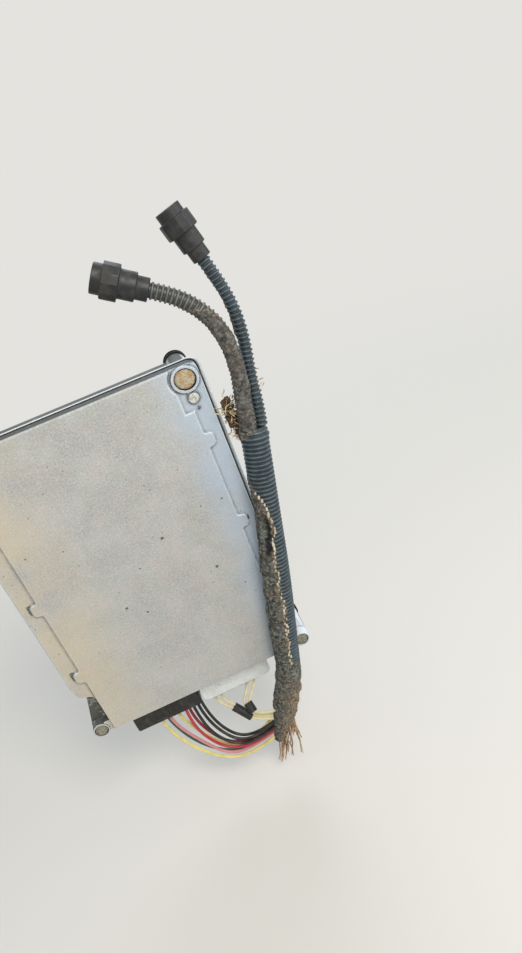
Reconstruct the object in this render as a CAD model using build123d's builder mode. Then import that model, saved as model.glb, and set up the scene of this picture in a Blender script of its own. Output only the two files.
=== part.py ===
from build123d import *
import math
import os

# Electronic control unit of a combine harvester, with the first stretch of its wiring loom.
# The frame: +Z runs up the case's long side, +X to its right as seen from the front,
# and +Y goes into the wall. The origin is midway between the two top bolts,
# in the plane that the rubber feet bear on.

# Cover, in millimetres
cover_width = 206.0
cover_height = 294.0
cover_corner = 7.0
cover_depth = 9.0
cover_wall = 3.0
cover_rim = 5.0
panel_step = 1.5
panel_margin = 14.0
panel_flank = 1.0

# Lobes of the raised panel, three on each side
lobe_reach = 6.5
lobe_length = 13.0
lobe_pitch = 80.0
lobe_middle = 3.0
lobe_corner = 3.6
lobe_root = 2.0

# Lowered corner of the panel round each top bolt
pocket_radius = 13.0
pocket_inset = 7.5
pocket_drop = 26.0

# Cut-away bottom corners, which leave the bottom lugs free
notch_height = 44.0
notch_reach = 14.0
notch_slope = 5.0
flange_notch_height = 41.0
flange_notch_reach = 8.0
flange_notch_slope = 12.0
ear_reach = 6.0
ear_height = 12.0

# Seal and flange of the rear case
seal_thickness = 2.0
seal_width = 3.4
seal_inset = 1.2
flange_thickness = 3.5
flange_lip = 4.0
flange_corner = 9.0

# Tub behind the flange
tub_depth = 27.5
tub_floor = 3.0
tub_wall = 6.0
tub_side_gap = 5.0
tub_top_gap = 6.0
tub_bottom_gap = 8.0
tub_corner = 10.0
tub_draft = 2.0
rib_height = 2.5
rib_thickness = 2.2
rib_pitch = 15.0
rib_count = 11
rib_margin = 16.0

# Bolts, their bosses and their rubber feet
top_side_inset = 12.0
top_inset = 11.0
lug_side_inset = 3.0
lug_inset = 4.0
bolt_radius = 3.0
shank_radius = 2.7
bolt_clearance = 0.4
head_flats = 10.0
head_height = 4.0
stud_length = 18.0
stud_chamfer = 0.8
washer_radius = 7.9
washer_thickness = 1.6
ring_wall = 2.2
ring_clearance = 0.3
top_boss_radius = 8.3
top_seat_depth = 5.5
lug_radius = 7.6
lug_rim_depth = 1.0
lug_seat_depth = 5.0
lug_recess_radius = 6.2
foot_height = 6.0
foot_radius = 9.5
foot_waist = 1.2

# Webs that carry the bottom lugs
web_height = 33.0
web_toe = 2.0
web_reach = 15.0

# Cover screws below the top bolts
screw_drop = 16.0
screw_inset = 11.0
screw_head_radius = 4.2
screw_head_height = 2.4
screw_radius = 2.0
screw_socket = 1.6

# Tab on the lower edge of the flange
tab_width = 69.0
tab_centre = 27.5
tab_drop = 24.5
tab_corner = 6.0

# Connectors on the bottom wall
left_plug_centre = -43.0
left_plug_width = 66.0
right_plug_centre = 24.0
right_plug_width = 52.0
plug_height = 21.5
plug_depth = 24.0
plug_corner = 2.5
plug_gap = 0.3
plug_nose = 11.0
grip_pitch = 6.0
grip_count = 7
grip_width = 2.0
grip_depth = 0.8
grip_height = 12.0
grip_drop = 5.0
header_drop = 16.0
header_wall = 2.0
header_inset = 4.0
connector_back = 15.0

# Loom: diameters of its cords
trunk_diameter = 22.0
taped_diameter = 13.0
ribbed_diameter = 10.0
wire_diameter = 3.0
sleeve_diameter = 8.6
breakout_length = 12.0
breakout_depth = 23.0
breakout_flare = 3.5
breakout_ease = 1.5

# Where the branches leave it: beside the trunk's line, and towards the viewer or away from them
taped_side = 4.5
taped_lift = 1.3
ribbed_side = 7.0
ribbed_lift = -1.2
branch_lead = 17.0

# Coupling: length of each stretch, and how far it stands proud of its branch
clamp_length = 9.0
clamp_wall = 2.0
shell_length = 12.0
shell_wall = 4.0
nut_length = 12.0
nut_wall = 7.0
nut_flat_count = 12
mouth_length = 7.0
mouth_wall = 4.5

# Share of the shorter run that a cord's arc takes at each end
ARC_SHARE = 0.45

# Worked-out places, as depths behind the panel's face
seal_front = cover_depth
flange_front = seal_front + seal_thickness
flange_back = flange_front + flange_thickness
tub_back = flange_back + tub_depth
stand_off = tub_back + foot_height

# Worked-out heights: the top bolts are at height 0
cover_top = top_inset
cover_middle = cover_top - cover_height / 2
cover_bottom = cover_top - cover_height
flange_width = cover_width + 2 * flange_lip
flange_bottom = cover_bottom - seal_inset
tub_width = cover_width - 2 * tub_side_gap
tub_top = cover_top - tub_top_gap
tub_bottom = cover_bottom + tub_bottom_gap
tub_height = tub_top - tub_bottom
tub_middle = (tub_top + tub_bottom) / 2
panel_width = cover_width - 2 * panel_margin
top_spacing = cover_width - 2 * top_side_inset
bottom_spacing = cover_width - 2 * lug_side_inset
bolt_drop = cover_height - top_inset - lug_inset
header_foot = tub_bottom - header_drop
plug_top = header_foot - plug_gap
plug_foot = plug_top - plug_height
connector_y = -connector_back - foot_height
ring_radius = top_boss_radius + ring_clearance + ring_wall
head_corner = head_flats / 2 / math.cos(math.pi / 6)

SIDES = (-1, 1)


def front(depth):
    """Plane that faces the viewer, depth behind the panel's face."""
    return Plane(origin=(0, depth - stand_off, 0), x_dir=(1, 0, 0), z_dir=(0, -1, 0))


def corner_points(spacing, height):
    """The two places of a row of bolts, left and right, in a front plane."""
    return [(side * spacing / 2, height) for side in SIDES]


def notched_outline(half_width, top, bottom, notch, reach, slope):
    """Outline of a plate with both bottom corners cut away, as half of it and its mirror image."""
    right = [
        (0, top),
        (half_width, top),
        (half_width, bottom + notch + slope),
        (half_width - reach, bottom + notch),
        (half_width - reach, bottom),
        (0, bottom),
    ]
    left = [(-x, z) for x, z in reversed(right[1:-1])]
    return right + left


top_row = corner_points(top_spacing, 0)
bottom_row = corner_points(bottom_spacing, -bolt_drop)
screw_row = [(side * (cover_width / 2 - screw_inset), -screw_drop) for side in SIDES]
web_outline = [
    (bottom_spacing / 2 - web_reach, web_height - bolt_drop),
    (flange_width / 2 - flange_notch_reach, web_height - bolt_drop),
    (bottom_spacing / 2 + lug_radius, web_toe - bolt_drop),
    (bottom_spacing / 2, -bolt_drop),
    (bottom_spacing / 2 - web_reach, -lug_radius - bolt_drop),
]
ear_row = [(side * (cover_width / 2 - notch_reach), cover_bottom + ear_height / 2) for side in SIDES]

# Cover: a cast tray with a raised panel, wavy at both sides
lobes = [
    (side * panel_width / 2, cover_middle + lobe_middle + row * lobe_pitch)
    for side in SIDES
    for row in (-1, 0, 1)
]
with BuildPart() as case_cover:
    with BuildSketch(front(cover_depth)) as cover_plate:
        with BuildLine():
            Polyline(
                *notched_outline(
                    cover_width / 2, cover_top, cover_bottom, notch_height, notch_reach, notch_slope
                ),
                close=True,
            )
        make_face()
        fillet(cover_plate.vertices(), cover_corner)
        with Locations(*ear_row):
            Rectangle(2 * ear_reach, ear_height)
        with Locations(*bottom_row):
            Circle(lug_radius + ring_clearance, mode=Mode.SUBTRACT)
    extrude(amount=cover_depth - panel_step)
    with BuildSketch(front(panel_step)) as panel:
        with Locations((0, cover_middle)):
            Rectangle(panel_width, cover_height)
        with Locations(*lobes):
            RectangleRounded(2 * lobe_reach, lobe_length, lobe_corner)
        for side in SIDES:
            edge = side * panel_width / 2
            roots = panel.vertices().filter_by_position(Axis.X, edge - lobe_root / 2, edge + lobe_root / 2)
            fillet(roots.sort_by(Axis.Y)[1:-1], lobe_root)
        with Locations(*top_row):
            Circle(pocket_radius, mode=Mode.SUBTRACT)
        with Locations(*[(side * panel_width / 2, -pocket_drop / 2) for side in SIDES]):
            Rectangle(2 * pocket_inset, pocket_drop, mode=Mode.SUBTRACT)
        with Locations(*[(side * panel_width / 2, cover_top) for side in SIDES]):
            Rectangle(2 * pocket_inset, 2 * top_inset, mode=Mode.SUBTRACT)
    extrude(amount=panel_step)
    chamfer(case_cover.faces().sort_by(Axis.Y)[0].outer_wire().edges(), panel_flank)
    with BuildSketch(front(panel_step)):
        with Locations(*top_row):
            Circle(ring_radius)
    extrude(amount=panel_step)
    with BuildSketch(front(cover_depth)) as cover_hollow:
        with BuildLine():
            Polyline(
                *notched_outline(
                    cover_width / 2 - cover_rim,
                    cover_top - cover_rim,
                    cover_bottom + cover_rim,
                    notch_height,
                    notch_reach,
                    notch_slope,
                ),
                close=True,
            )
        make_face()
        with Locations(*top_row):
            Circle(ring_radius, mode=Mode.SUBTRACT)
        with Locations(*screw_row):
            Circle(screw_radius + cover_wall, mode=Mode.SUBTRACT)
    extrude(amount=cover_depth - panel_step - cover_wall, mode=Mode.SUBTRACT)
    with BuildSketch(front(cover_depth)):
        with Locations(*top_row):
            Circle(top_boss_radius + ring_clearance)
    extrude(amount=cover_depth, mode=Mode.SUBTRACT)
    with BuildSketch(front(cover_depth)):
        with Locations(*screw_row):
            Circle(screw_radius + ring_clearance)
    extrude(amount=cover_depth, mode=Mode.SUBTRACT)
case_cover.part.label = "case_cover"

# Seal: a flat rubber cord between cover and flange
with BuildPart() as case_seal:
    with BuildSketch(front(flange_front)):
        with BuildLine():
            Polyline(
                *notched_outline(
                    cover_width / 2 - seal_inset,
                    cover_top - seal_inset,
                    cover_bottom + seal_inset,
                    notch_height,
                    notch_reach,
                    notch_slope,
                ),
                close=True,
            )
        make_face()
        offset(amount=-seal_width, kind=Kind.INTERSECTION, mode=Mode.SUBTRACT)
        with Locations(*top_row):
            Circle(top_boss_radius + ring_clearance, mode=Mode.SUBTRACT)
    extrude(amount=seal_thickness)
case_seal.part.label = "case_seal"

# Rear case: flange, drafted tub, bosses, ribs and the tab below
with BuildPart() as case_rear:
    with BuildSketch(front(flange_back)) as flange:
        with BuildLine():
            Polyline(
                *notched_outline(
                    flange_width / 2,
                    cover_top,
                    flange_bottom,
                    flange_notch_height,
                    flange_notch_reach,
                    flange_notch_slope,
                ),
                close=True,
            )
        make_face()
        fillet(flange.vertices(), flange_corner)
    extrude(amount=flange_thickness)
    with BuildSketch(front(flange_back)) as tub_section:
        with Locations((0, tub_middle)):
            RectangleRounded(tub_width, tub_height, tub_corner)
    extrude(amount=-tub_depth, taper=tub_draft)
    with BuildSketch(front(flange_back)):
        with Locations(*top_row):
            Circle(top_boss_radius)
    extrude(amount=-tub_depth)
    with BuildSketch(front(tub_back)):
        with Locations(*bottom_row):
            Circle(lug_radius)
    extrude(amount=tub_back - lug_rim_depth)
    with BuildSketch(front(tub_back)):
        for side in SIDES:
            with BuildLine():
                Polyline(*[(side * x, z) for x, z in web_outline], close=True)
            make_face()
    extrude(amount=tub_back - flange_front)
    with BuildSketch(front(tub_back - tub_floor)):
        with Locations((0, tub_middle)):
            RectangleRounded(tub_width - 2 * tub_wall, tub_height - 2 * tub_wall, tub_corner - tub_floor)
        with Locations(*top_row):
            Circle(top_boss_radius, mode=Mode.SUBTRACT)
    extrude(amount=tub_back - tub_floor - flange_front, mode=Mode.SUBTRACT)
    with BuildSketch(front(flange_front)):
        with Locations(*top_row):
            Circle(top_boss_radius)
    extrude(amount=flange_front - top_seat_depth)
    with BuildSketch(front(flange_back)) as tab:
        with Locations((tab_centre, flange_bottom - tab_drop / 2 + 1.0)):
            Rectangle(tab_width, tab_drop + 2.0)
        fillet(tab.vertices(), tab_corner)
    extrude(amount=flange_thickness)
    with BuildSketch(front(tub_back)):
        with Locations((0, tub_middle)):
            with GridLocations(rib_pitch, 0, rib_count, 1):
                Rectangle(rib_thickness, tub_height - 2 * rib_margin)
    extrude(amount=-rib_height)
    with BuildSketch(front(tub_back)):
        with Locations(*top_row, *bottom_row):
            Circle(bolt_radius + bolt_clearance)
    extrude(amount=tub_back, mode=Mode.SUBTRACT)
    with BuildSketch(front(lug_seat_depth)):
        with Locations(*bottom_row):
            Circle(lug_recess_radius)
    extrude(amount=lug_seat_depth, mode=Mode.SUBTRACT)
    with BuildSketch(front(flange_back)):
        with Locations(*screw_row):
            Circle(screw_radius)
    extrude(amount=flange_thickness, mode=Mode.SUBTRACT)
case_rear.part.label = "case_rear"

# Cover screws
with BuildPart() as cover_screws:
    with BuildSketch(front(panel_step)):
        with Locations(*screw_row):
            Circle(screw_head_radius)
    extrude(amount=screw_head_height)
    with BuildSketch(front(flange_back)):
        with Locations(*screw_row):
            Circle(screw_radius)
    extrude(amount=flange_back - panel_step)
    fillet(cover_screws.edges().filter_by(GeomType.CIRCLE).sort_by(Axis.Y)[:2], 0.8)
    with BuildSketch(front(panel_step - screw_head_height)):
        with Locations(*screw_row):
            RegularPolygon(screw_socket, 6)
    extrude(amount=-screw_socket, mode=Mode.SUBTRACT)
cover_screws.part.label = "cover_screws"

# Rubber feet behind the bosses, waisted
with BuildPart() as feet:
    with BuildSketch(front(stand_off)):
        with Locations(*top_row, *bottom_row):
            Circle(foot_radius)
    extrude(amount=foot_height)
    with BuildSketch(front(stand_off - foot_height / 3)):
        with Locations(*top_row, *bottom_row):
            Circle(foot_radius)
            Circle(foot_radius - foot_waist, mode=Mode.SUBTRACT)
    extrude(amount=foot_height / 3, mode=Mode.SUBTRACT)
    with BuildSketch(front(stand_off)):
        with Locations(*top_row, *bottom_row):
            Circle(bolt_radius + bolt_clearance)
    extrude(amount=foot_height, mode=Mode.SUBTRACT)
feet.part.label = "feet"

# Washers under the top bolts' heads
with BuildPart() as washers:
    with BuildSketch(front(top_seat_depth)):
        with Locations(*top_row):
            Circle(washer_radius)
            Circle(bolt_radius + bolt_clearance, mode=Mode.SUBTRACT)
    extrude(amount=washer_thickness)
washers.part.label = "washers"

# Four bolts with reduced shanks, through the case and its feet, their threaded ends free behind
head_seats = (
    (top_row, top_seat_depth - washer_thickness),
    (bottom_row, lug_seat_depth),
)
with BuildPart() as mount_bolts:
    for row, seat in head_seats:
        with BuildSketch(front(seat)):
            with Locations(*row):
                RegularPolygon(head_corner, 6)
        extrude(amount=head_height)
        with BuildSketch(front(stand_off)):
            with Locations(*row):
                Circle(shank_radius)
        extrude(amount=stand_off - seat)
    with BuildSketch(front(stand_off)):
        with Locations(*top_row, *bottom_row):
            Circle(bolt_radius)
    extrude(amount=-stud_length)
    chamfer(
        mount_bolts.edges().filter_by(GeomType.CIRCLE).group_by(Axis.Y)[-1], stud_chamfer
    )
mount_bolts.part.label = "mount_bolts"

# Connector shrouds on the bottom wall, and the plugs pushed into them
connectors = (
    ("left", left_plug_centre, left_plug_width),
    ("right", right_plug_centre, right_plug_width),
)
connector_pieces = []
for side, centre, width in connectors:
    shroud_width = width - 2 * header_inset
    shroud_depth = plug_depth - 2 * header_inset
    nose_width = shroud_width - 2 * (header_wall + plug_gap)
    nose_depth = shroud_depth - 2 * (header_wall + plug_gap)
    with BuildPart() as header:
        with BuildSketch(Plane.XY.offset(tub_bottom)):
            with Locations((centre, connector_y)):
                RectangleRounded(shroud_width, shroud_depth, plug_corner)
        extrude(amount=-header_drop)
        with BuildSketch(Plane.XY.offset(header_foot)):
            with Locations((centre, connector_y)):
                RectangleRounded(
                    shroud_width - 2 * header_wall,
                    shroud_depth - 2 * header_wall,
                    plug_corner - header_wall / 2,
                )
        extrude(amount=header_drop - header_wall, mode=Mode.SUBTRACT)
    header.part.label = f"header_{side}"
    with BuildPart() as plug:
        with BuildSketch(Plane.XY.offset(plug_foot)):
            with Locations((centre, connector_y)):
                RectangleRounded(width, plug_depth, plug_corner)
        extrude(amount=plug_height)
        with BuildSketch(Plane.XY.offset(plug_top - grip_drop)):
            with Locations((centre, connector_y)):
                with GridLocations(grip_pitch, plug_depth, grip_count, 2):
                    Rectangle(grip_width, 2 * grip_depth)
        extrude(amount=-grip_height, mode=Mode.SUBTRACT)
        with BuildSketch(Plane.XY.offset(plug_top)):
            with Locations((centre, connector_y)):
                RectangleRounded(nose_width, nose_depth, plug_corner - header_wall)
        extrude(amount=plug_nose)
    plug.part.label = f"plug_{side}"
    connector_pieces += [header, plug]


def cord(label, points, diameter):
    """Tube along straight runs joined by tangent arcs, as large as the runs allow."""
    places = [Vector(*point) for point in points]
    runs = [after - before for before, after in zip(places, places[1:])]
    radii = []
    for before, after in zip(runs, runs[1:]):
        half_turn = math.radians(before.get_angle(after)) / 2
        radii.append(ARC_SHARE * min(before.length, after.length) / math.tan(half_turn))
    with BuildPart() as tube:
        with BuildLine() as route:
            FilletPolyline(*places, radius=radii)
        with BuildSketch(Plane(origin=places[0], z_dir=runs[0])):
            Circle(diameter / 2)
        sweep(path=route.wires()[0])
    tube.part.label = label
    length = route.wires()[0].length
    filled = tube.part.volume / (math.pi * diameter**2 / 4 * length)
    print(f"{label}: {length:.0f} mm long, least radius {min(radii):.0f} mm, "
          f"{min(radii) / diameter:.1f} diameters, volume {filled:.4f} of section times length")
    return tube


# Routes of the loom's cords, chosen by hand: x, y, z of each point
trunk_route = [
    (42.5, -52, -379), (73.5, -58, -317), (86.5, -62, -252), (100.5, -63, -186), (111, -63, -125),
    (122.7, -59, -64.4),
]
trunk_end = Vector(*trunk_route[-1])
trunk_way = (trunk_end - Vector(*trunk_route[-2])).normalized()
breakout_end = trunk_end + trunk_way * breakout_length
side_way = Vector(trunk_way.Z, 0, -trunk_way.X).normalized()
lift_way = side_way.cross(trunk_way)
taped_start = breakout_end - side_way * taped_side + lift_way * taped_lift
ribbed_start = breakout_end + side_way * ribbed_side + lift_way * ribbed_lift
taped_route = [
    tuple(taped_start), tuple(taped_start + trunk_way * branch_lead), (129.5, -58, -6.5),
    (130, -54.5, 16.5), (126, -50.5, 33.5), (117.5, -47, 47.5), (105.5, -43.5, 59.5), (91.5, -41, 68.5),
]
ribbed_route = [
    tuple(ribbed_start), tuple(ribbed_start + trunk_way * branch_lead), (137.5, -51, -14.5),
    (142, -48.5, 8), (143.5, -47.5, 31.5), (140.5, -46, 54.5), (134.5, -43, 75.5),
]
wire_routes = {
    "wire_yellow": [
        (-54, -25, plug_foot), (-53, -26, -331), (-38, -34, -361), (-10, -43, -388),
        (22, -50, -384), (46, -53, -371),
    ],
    "wire_green": [
        (-49, -21, plug_foot), (-48, -21, -331), (-35, -26, -363), (-11, -33, -387),
        (17, -39, -386), (39, -44, -370), (53, -48.5, -348),
    ],
    "wire_pink": [
        (-46, -24, plug_foot), (-45, -25, -329), (-31, -31, -356), (-9, -41, -384),
        (20, -46, -381), (45, -52, -367),
    ],
    "wire_amber": [
        (-38, -24, plug_foot), (-36, -24, -328), (-26, -28, -351), (-10, -35, -374),
        (13, -41, -379), (34, -44, -365), (52, -50, -346),
    ],
    "wire_red": [
        (-28, -28, plug_foot), (-29, -29, -330), (-24, -34, -352), (-8, -41, -374),
        (20, -49, -376), (44, -53, -364),
    ],
    "wire_crimson": [
        (-25, -23, plug_foot), (-26, -25, -329), (-19, -31, -351), (-4, -40, -369),
        (21, -48, -371), (44, -52, -360),
    ],
    "wire_black_a": [
        (-20, -28, plug_foot), (-20, -31, -328), (-14, -38, -353), (3, -46, -370),
        (27, -53, -368), (46, -57, -356),
    ],
    "wire_black_b": [
        (-16, -24, plug_foot), (-16, -28, -327), (-9, -35, -351), (6, -44, -368),
        (28, -51, -365), (47, -55, -353),
    ],
    "wire_black_c": [
        (-12, -24, plug_foot), (-12, -26, -328), (-5, -33, -352), (9, -40, -368),
        (30, -47, -365), (47, -51.5, -355),
    ],
    "wire_cream_a": [
        (0, -25, plug_foot), (3, -28, -325), (16, -36, -336), (29, -45, -351), (48.5, -53.5, -350.5),
    ],
    "wire_cream_b": [
        (6, -25, plug_foot), (9, -28, -325), (20, -37, -334), (32, -46, -348), (50, -54, -346),
    ],
    "wire_cream_c": [
        (39, -25, plug_foot), (34, -29, -322), (24, -38, -331), (31, -47, -343), (51.5, -55, -341),
    ],
    "wire_cream_d": [
        (46, -26, plug_foot), (40, -30, -324), (28, -41, -331), (35, -51, -341), (54, -58, -336),
    ],
}

loom_trunk = cord("loom_trunk", trunk_route, trunk_diameter)
loom_taped = cord("loom_taped", taped_route, taped_diameter)
loom_ribbed = cord("loom_ribbed", ribbed_route, ribbed_diameter)

# Breakout: the taped swelling where the trunk divides into its two branches
with BuildPart() as loom_breakout:
    with BuildSketch(Plane(origin=trunk_end, x_dir=side_way, z_dir=trunk_way)):
        SlotOverall(breakout_depth + breakout_flare, breakout_depth)
    extrude(amount=breakout_length)
    chamfer(loom_breakout.faces().sort_by(Axis.Z)[0].edges(), breakout_ease)
loom_breakout.part.label = "loom_breakout"

# Wires end on the plugs' feet and on the trunk's skin, so what would lie inside them is taken off
wires = []
for label, route in wire_routes.items():
    wire = cord(label, route, wire_diameter)
    with wire:
        for piece in (loom_trunk, *connector_pieces):
            add(piece.part, mode=Mode.SUBTRACT)
    wire.part.label = label
    wires.append(wire)

# Black sleeves shrunk onto the two pairs of cream wires, from one place to the other
sleeves = []
for label, start, end, pair in (
    ("sleeve_left", (15, -34.5, -332.5), (27, -43, -346), ("wire_cream_a", "wire_cream_b")),
    ("sleeve_right", (28.8, -39, -331), (30.7, -46, -338.4), ("wire_cream_c", "wire_cream_d")),
):
    way = Vector(*end) - Vector(*start)
    with BuildPart() as sleeve:
        with BuildSketch(Plane(origin=start, z_dir=way)):
            Circle(sleeve_diameter / 2)
        extrude(amount=way.length)
        for wire in wires:
            if wire.part.label in pair:
                add(wire.part, mode=Mode.SUBTRACT)
    sleeve.part.label = label
    sleeves.append(sleeve)

# In-line couplings that end the two branches
couplings = []
for label, route, diameter in (
    ("coupling_taped", taped_route, taped_diameter),
    ("coupling_ribbed", ribbed_route, ribbed_diameter),
):
    place = Vector(*route[-1])
    way = (place - Vector(*route[-2])).normalized()
    with BuildPart() as coupling:
        for length, wall in (
            (clamp_length, clamp_wall),
            (shell_length, shell_wall),
            (nut_length, nut_wall),
            (mouth_length, mouth_wall),
        ):
            with BuildSketch(Plane(origin=place, z_dir=way)):
                if wall == nut_wall:
                    RegularPolygon(diameter / 2 + wall, nut_flat_count)
                else:
                    Circle(diameter / 2 + wall)
            extrude(amount=length)
            place += way * length
    coupling.part.label = label
    couplings.append(coupling)

os.makedirs("parts", exist_ok=True)
pieces = [
    case_cover, case_seal, case_rear, cover_screws, feet, washers, mount_bolts,
    *connector_pieces, loom_trunk, loom_breakout, loom_taped, loom_ribbed, *couplings, *wires,
    *sleeves,
]
for piece in pieces:
    export_step(piece.part, f"parts/{piece.part.label}.step")
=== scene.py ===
"""Looks of a farm machine's electronic control unit with the first stretch of its wiring loom.

The cast case hangs on four bolts. Two plugs sit under its bottom wall, their wires gather in a
split corrugated conduit that runs up over the case's right edge, and the conduit divides above
into two thinner ones. Years of field dust, chaff and dried mud lie on all of it.
"""

import logging
import math
import random
from collections.abc import Callable, Iterator, Mapping, Sequence
from contextlib import contextmanager
from dataclasses import dataclass
from enum import Enum
from functools import cached_property
from typing import Any, ClassVar

import bmesh
import bpy
from mathutils import Euler, Matrix, Vector, noise


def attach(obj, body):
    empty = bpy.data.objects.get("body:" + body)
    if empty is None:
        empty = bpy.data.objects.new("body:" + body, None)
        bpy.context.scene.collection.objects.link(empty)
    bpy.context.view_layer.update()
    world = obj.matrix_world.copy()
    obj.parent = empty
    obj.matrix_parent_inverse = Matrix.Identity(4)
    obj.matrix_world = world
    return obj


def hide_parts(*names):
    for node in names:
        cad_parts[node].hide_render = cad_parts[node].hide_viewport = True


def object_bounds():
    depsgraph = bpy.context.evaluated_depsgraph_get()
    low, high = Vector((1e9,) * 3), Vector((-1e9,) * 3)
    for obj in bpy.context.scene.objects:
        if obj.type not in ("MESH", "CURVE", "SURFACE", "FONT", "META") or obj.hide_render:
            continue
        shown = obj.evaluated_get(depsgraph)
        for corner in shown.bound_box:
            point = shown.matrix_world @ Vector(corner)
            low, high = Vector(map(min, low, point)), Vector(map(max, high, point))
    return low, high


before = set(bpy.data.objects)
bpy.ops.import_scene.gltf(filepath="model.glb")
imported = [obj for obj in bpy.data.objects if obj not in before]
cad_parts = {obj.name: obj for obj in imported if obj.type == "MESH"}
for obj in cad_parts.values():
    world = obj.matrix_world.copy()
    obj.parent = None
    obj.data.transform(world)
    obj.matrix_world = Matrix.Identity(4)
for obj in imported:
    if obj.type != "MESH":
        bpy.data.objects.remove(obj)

CAD_BOX = [list(corner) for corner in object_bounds()]
BODY = "root"
MM = 0.001

# Sockets of the colour Mix node
MIX_FACTOR, MIX_A, MIX_B, MIX_RESULT = 0, 6, 7, 2

# Attributes in which a conduit's mesh tells its finish what lies where: mud, painted shade between
# the ribs, straw, and painted shade in the gaping slit
LOOM_MARKS = ("dirt", "groove", "straw", "gap")

log = logging.getLogger("control_unit")

Point = tuple[float, float, float]
Table = Sequence[tuple[float, float]]
Socket = bpy.types.NodeSocket


# Mesh helpers


def take_up(piece: bpy.types.Object) -> None:
    """Makes a piece the only selected and the active one."""
    bpy.ops.object.select_all(action="DESELECT")
    piece.select_set(True)
    bpy.context.view_layer.objects.active = piece


@contextmanager
def editing(piece: bpy.types.Object, chosen: bool = True) -> Iterator[None]:
    """Holds a piece in edit mode.

    Args:
        piece: the mesh object.
        chosen: whether all of it starts selected, or none.
    """
    take_up(piece)
    bpy.ops.object.mode_set(mode="EDIT")
    bpy.ops.mesh.select_all(action="SELECT" if chosen else "DESELECT")
    yield
    bpy.ops.object.mode_set(mode="OBJECT")


def circle(vertices: int, radius: float, filled: bool = True) -> bpy.types.Object:
    """A new flat circle round the origin, filled or open."""
    bpy.ops.object.select_all(action="DESELECT")
    fill = "NGON" if filled else "NOTHING"
    bpy.ops.mesh.primitive_circle_add(vertices=vertices, radius=radius, fill_type=fill)
    return bpy.context.object


def cube(size: float) -> bpy.types.Object:
    """A new cube round the origin."""
    bpy.ops.object.select_all(action="DESELECT")
    bpy.ops.mesh.primitive_cube_add(size=size)
    return bpy.context.object


def draw_up(size: Point = (1, 1, 1), step: Point = (0, 0, 0), about: Point | None = None) -> None:
    """Extrudes what is selected in edit mode and sizes the new end.

    Args:
        size: the end's sizes against the start's.
        step: how far the end is moved.
        about: where its sizing starts from, or its own middle.
    """
    bpy.ops.mesh.extrude_region_move(TRANSFORM_OT_translate={"value": step})
    if size != (1, 1, 1):
        bpy.ops.transform.resize(value=size, **({"center_override": about} if about else {}))


def apply_modifier(piece: bpy.types.Object, kind: str, **settings: Any) -> None:
    """Adds a modifier with its settings and applies it.

    Args:
        piece: the mesh to change.
        kind: the modifier's type name.
        settings: the modifier's own properties.
    """
    take_up(piece)
    made = piece.modifiers.new(kind.lower(), kind)
    for name, value in settings.items():
        setattr(made, name, value)
    bpy.ops.object.modifier_apply(modifier=made.name)


def settle(piece: bpy.types.Object, name: str, crease: float) -> bpy.types.Object:
    """Names a piece, applies its place to its mesh and smooths its curved faces.

    Args:
        piece: the mesh object.
        name: its final name.
        crease: edges that turn by more than this many degrees stay sharp.

    Returns:
        The same piece.
    """
    take_up(piece)
    bpy.ops.object.transform_apply(location=True, rotation=True, scale=True)
    with editing(piece):
        bpy.ops.mesh.normals_make_consistent(inside=False)
    bpy.ops.object.shade_smooth_by_angle(angle=math.radians(crease))
    piece.name = name
    piece.data.name = name
    return piece


def link(name: str, data: bpy.types.ID) -> bpy.types.Object:
    """A new object in the scene, made of a mesh, curve, camera or lamp."""
    made = bpy.data.objects.new(name, data)
    bpy.context.scene.collection.objects.link(made)
    return made


def own_copy(piece: bpy.types.Object) -> bpy.types.Object:
    """A copy of a piece with its own mesh."""
    return link(piece.name, piece.data.copy())


# Shader nodes


def linear(hex_colour: str) -> tuple[float, float, float, float]:
    """Turns an sRGB hex colour into linear RGBA.

    Args:
        hex_colour: six hex digits after a hash sign.

    Returns:
        Red, green, blue and an alpha of 1, linear.
    """
    shares = [int(hex_colour[i : i + 2], 16) / 255 for i in (1, 3, 5)]
    return (*[c / 12.92 if c <= 0.04045 else ((c + 0.055) / 1.055) ** 2.4 for c in shares], 1.0)


def per_mm(size: float) -> float:
    """Scale of a pattern on Object coordinates whose features measure size millimetres."""
    return 1 / (size * MM)


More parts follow.
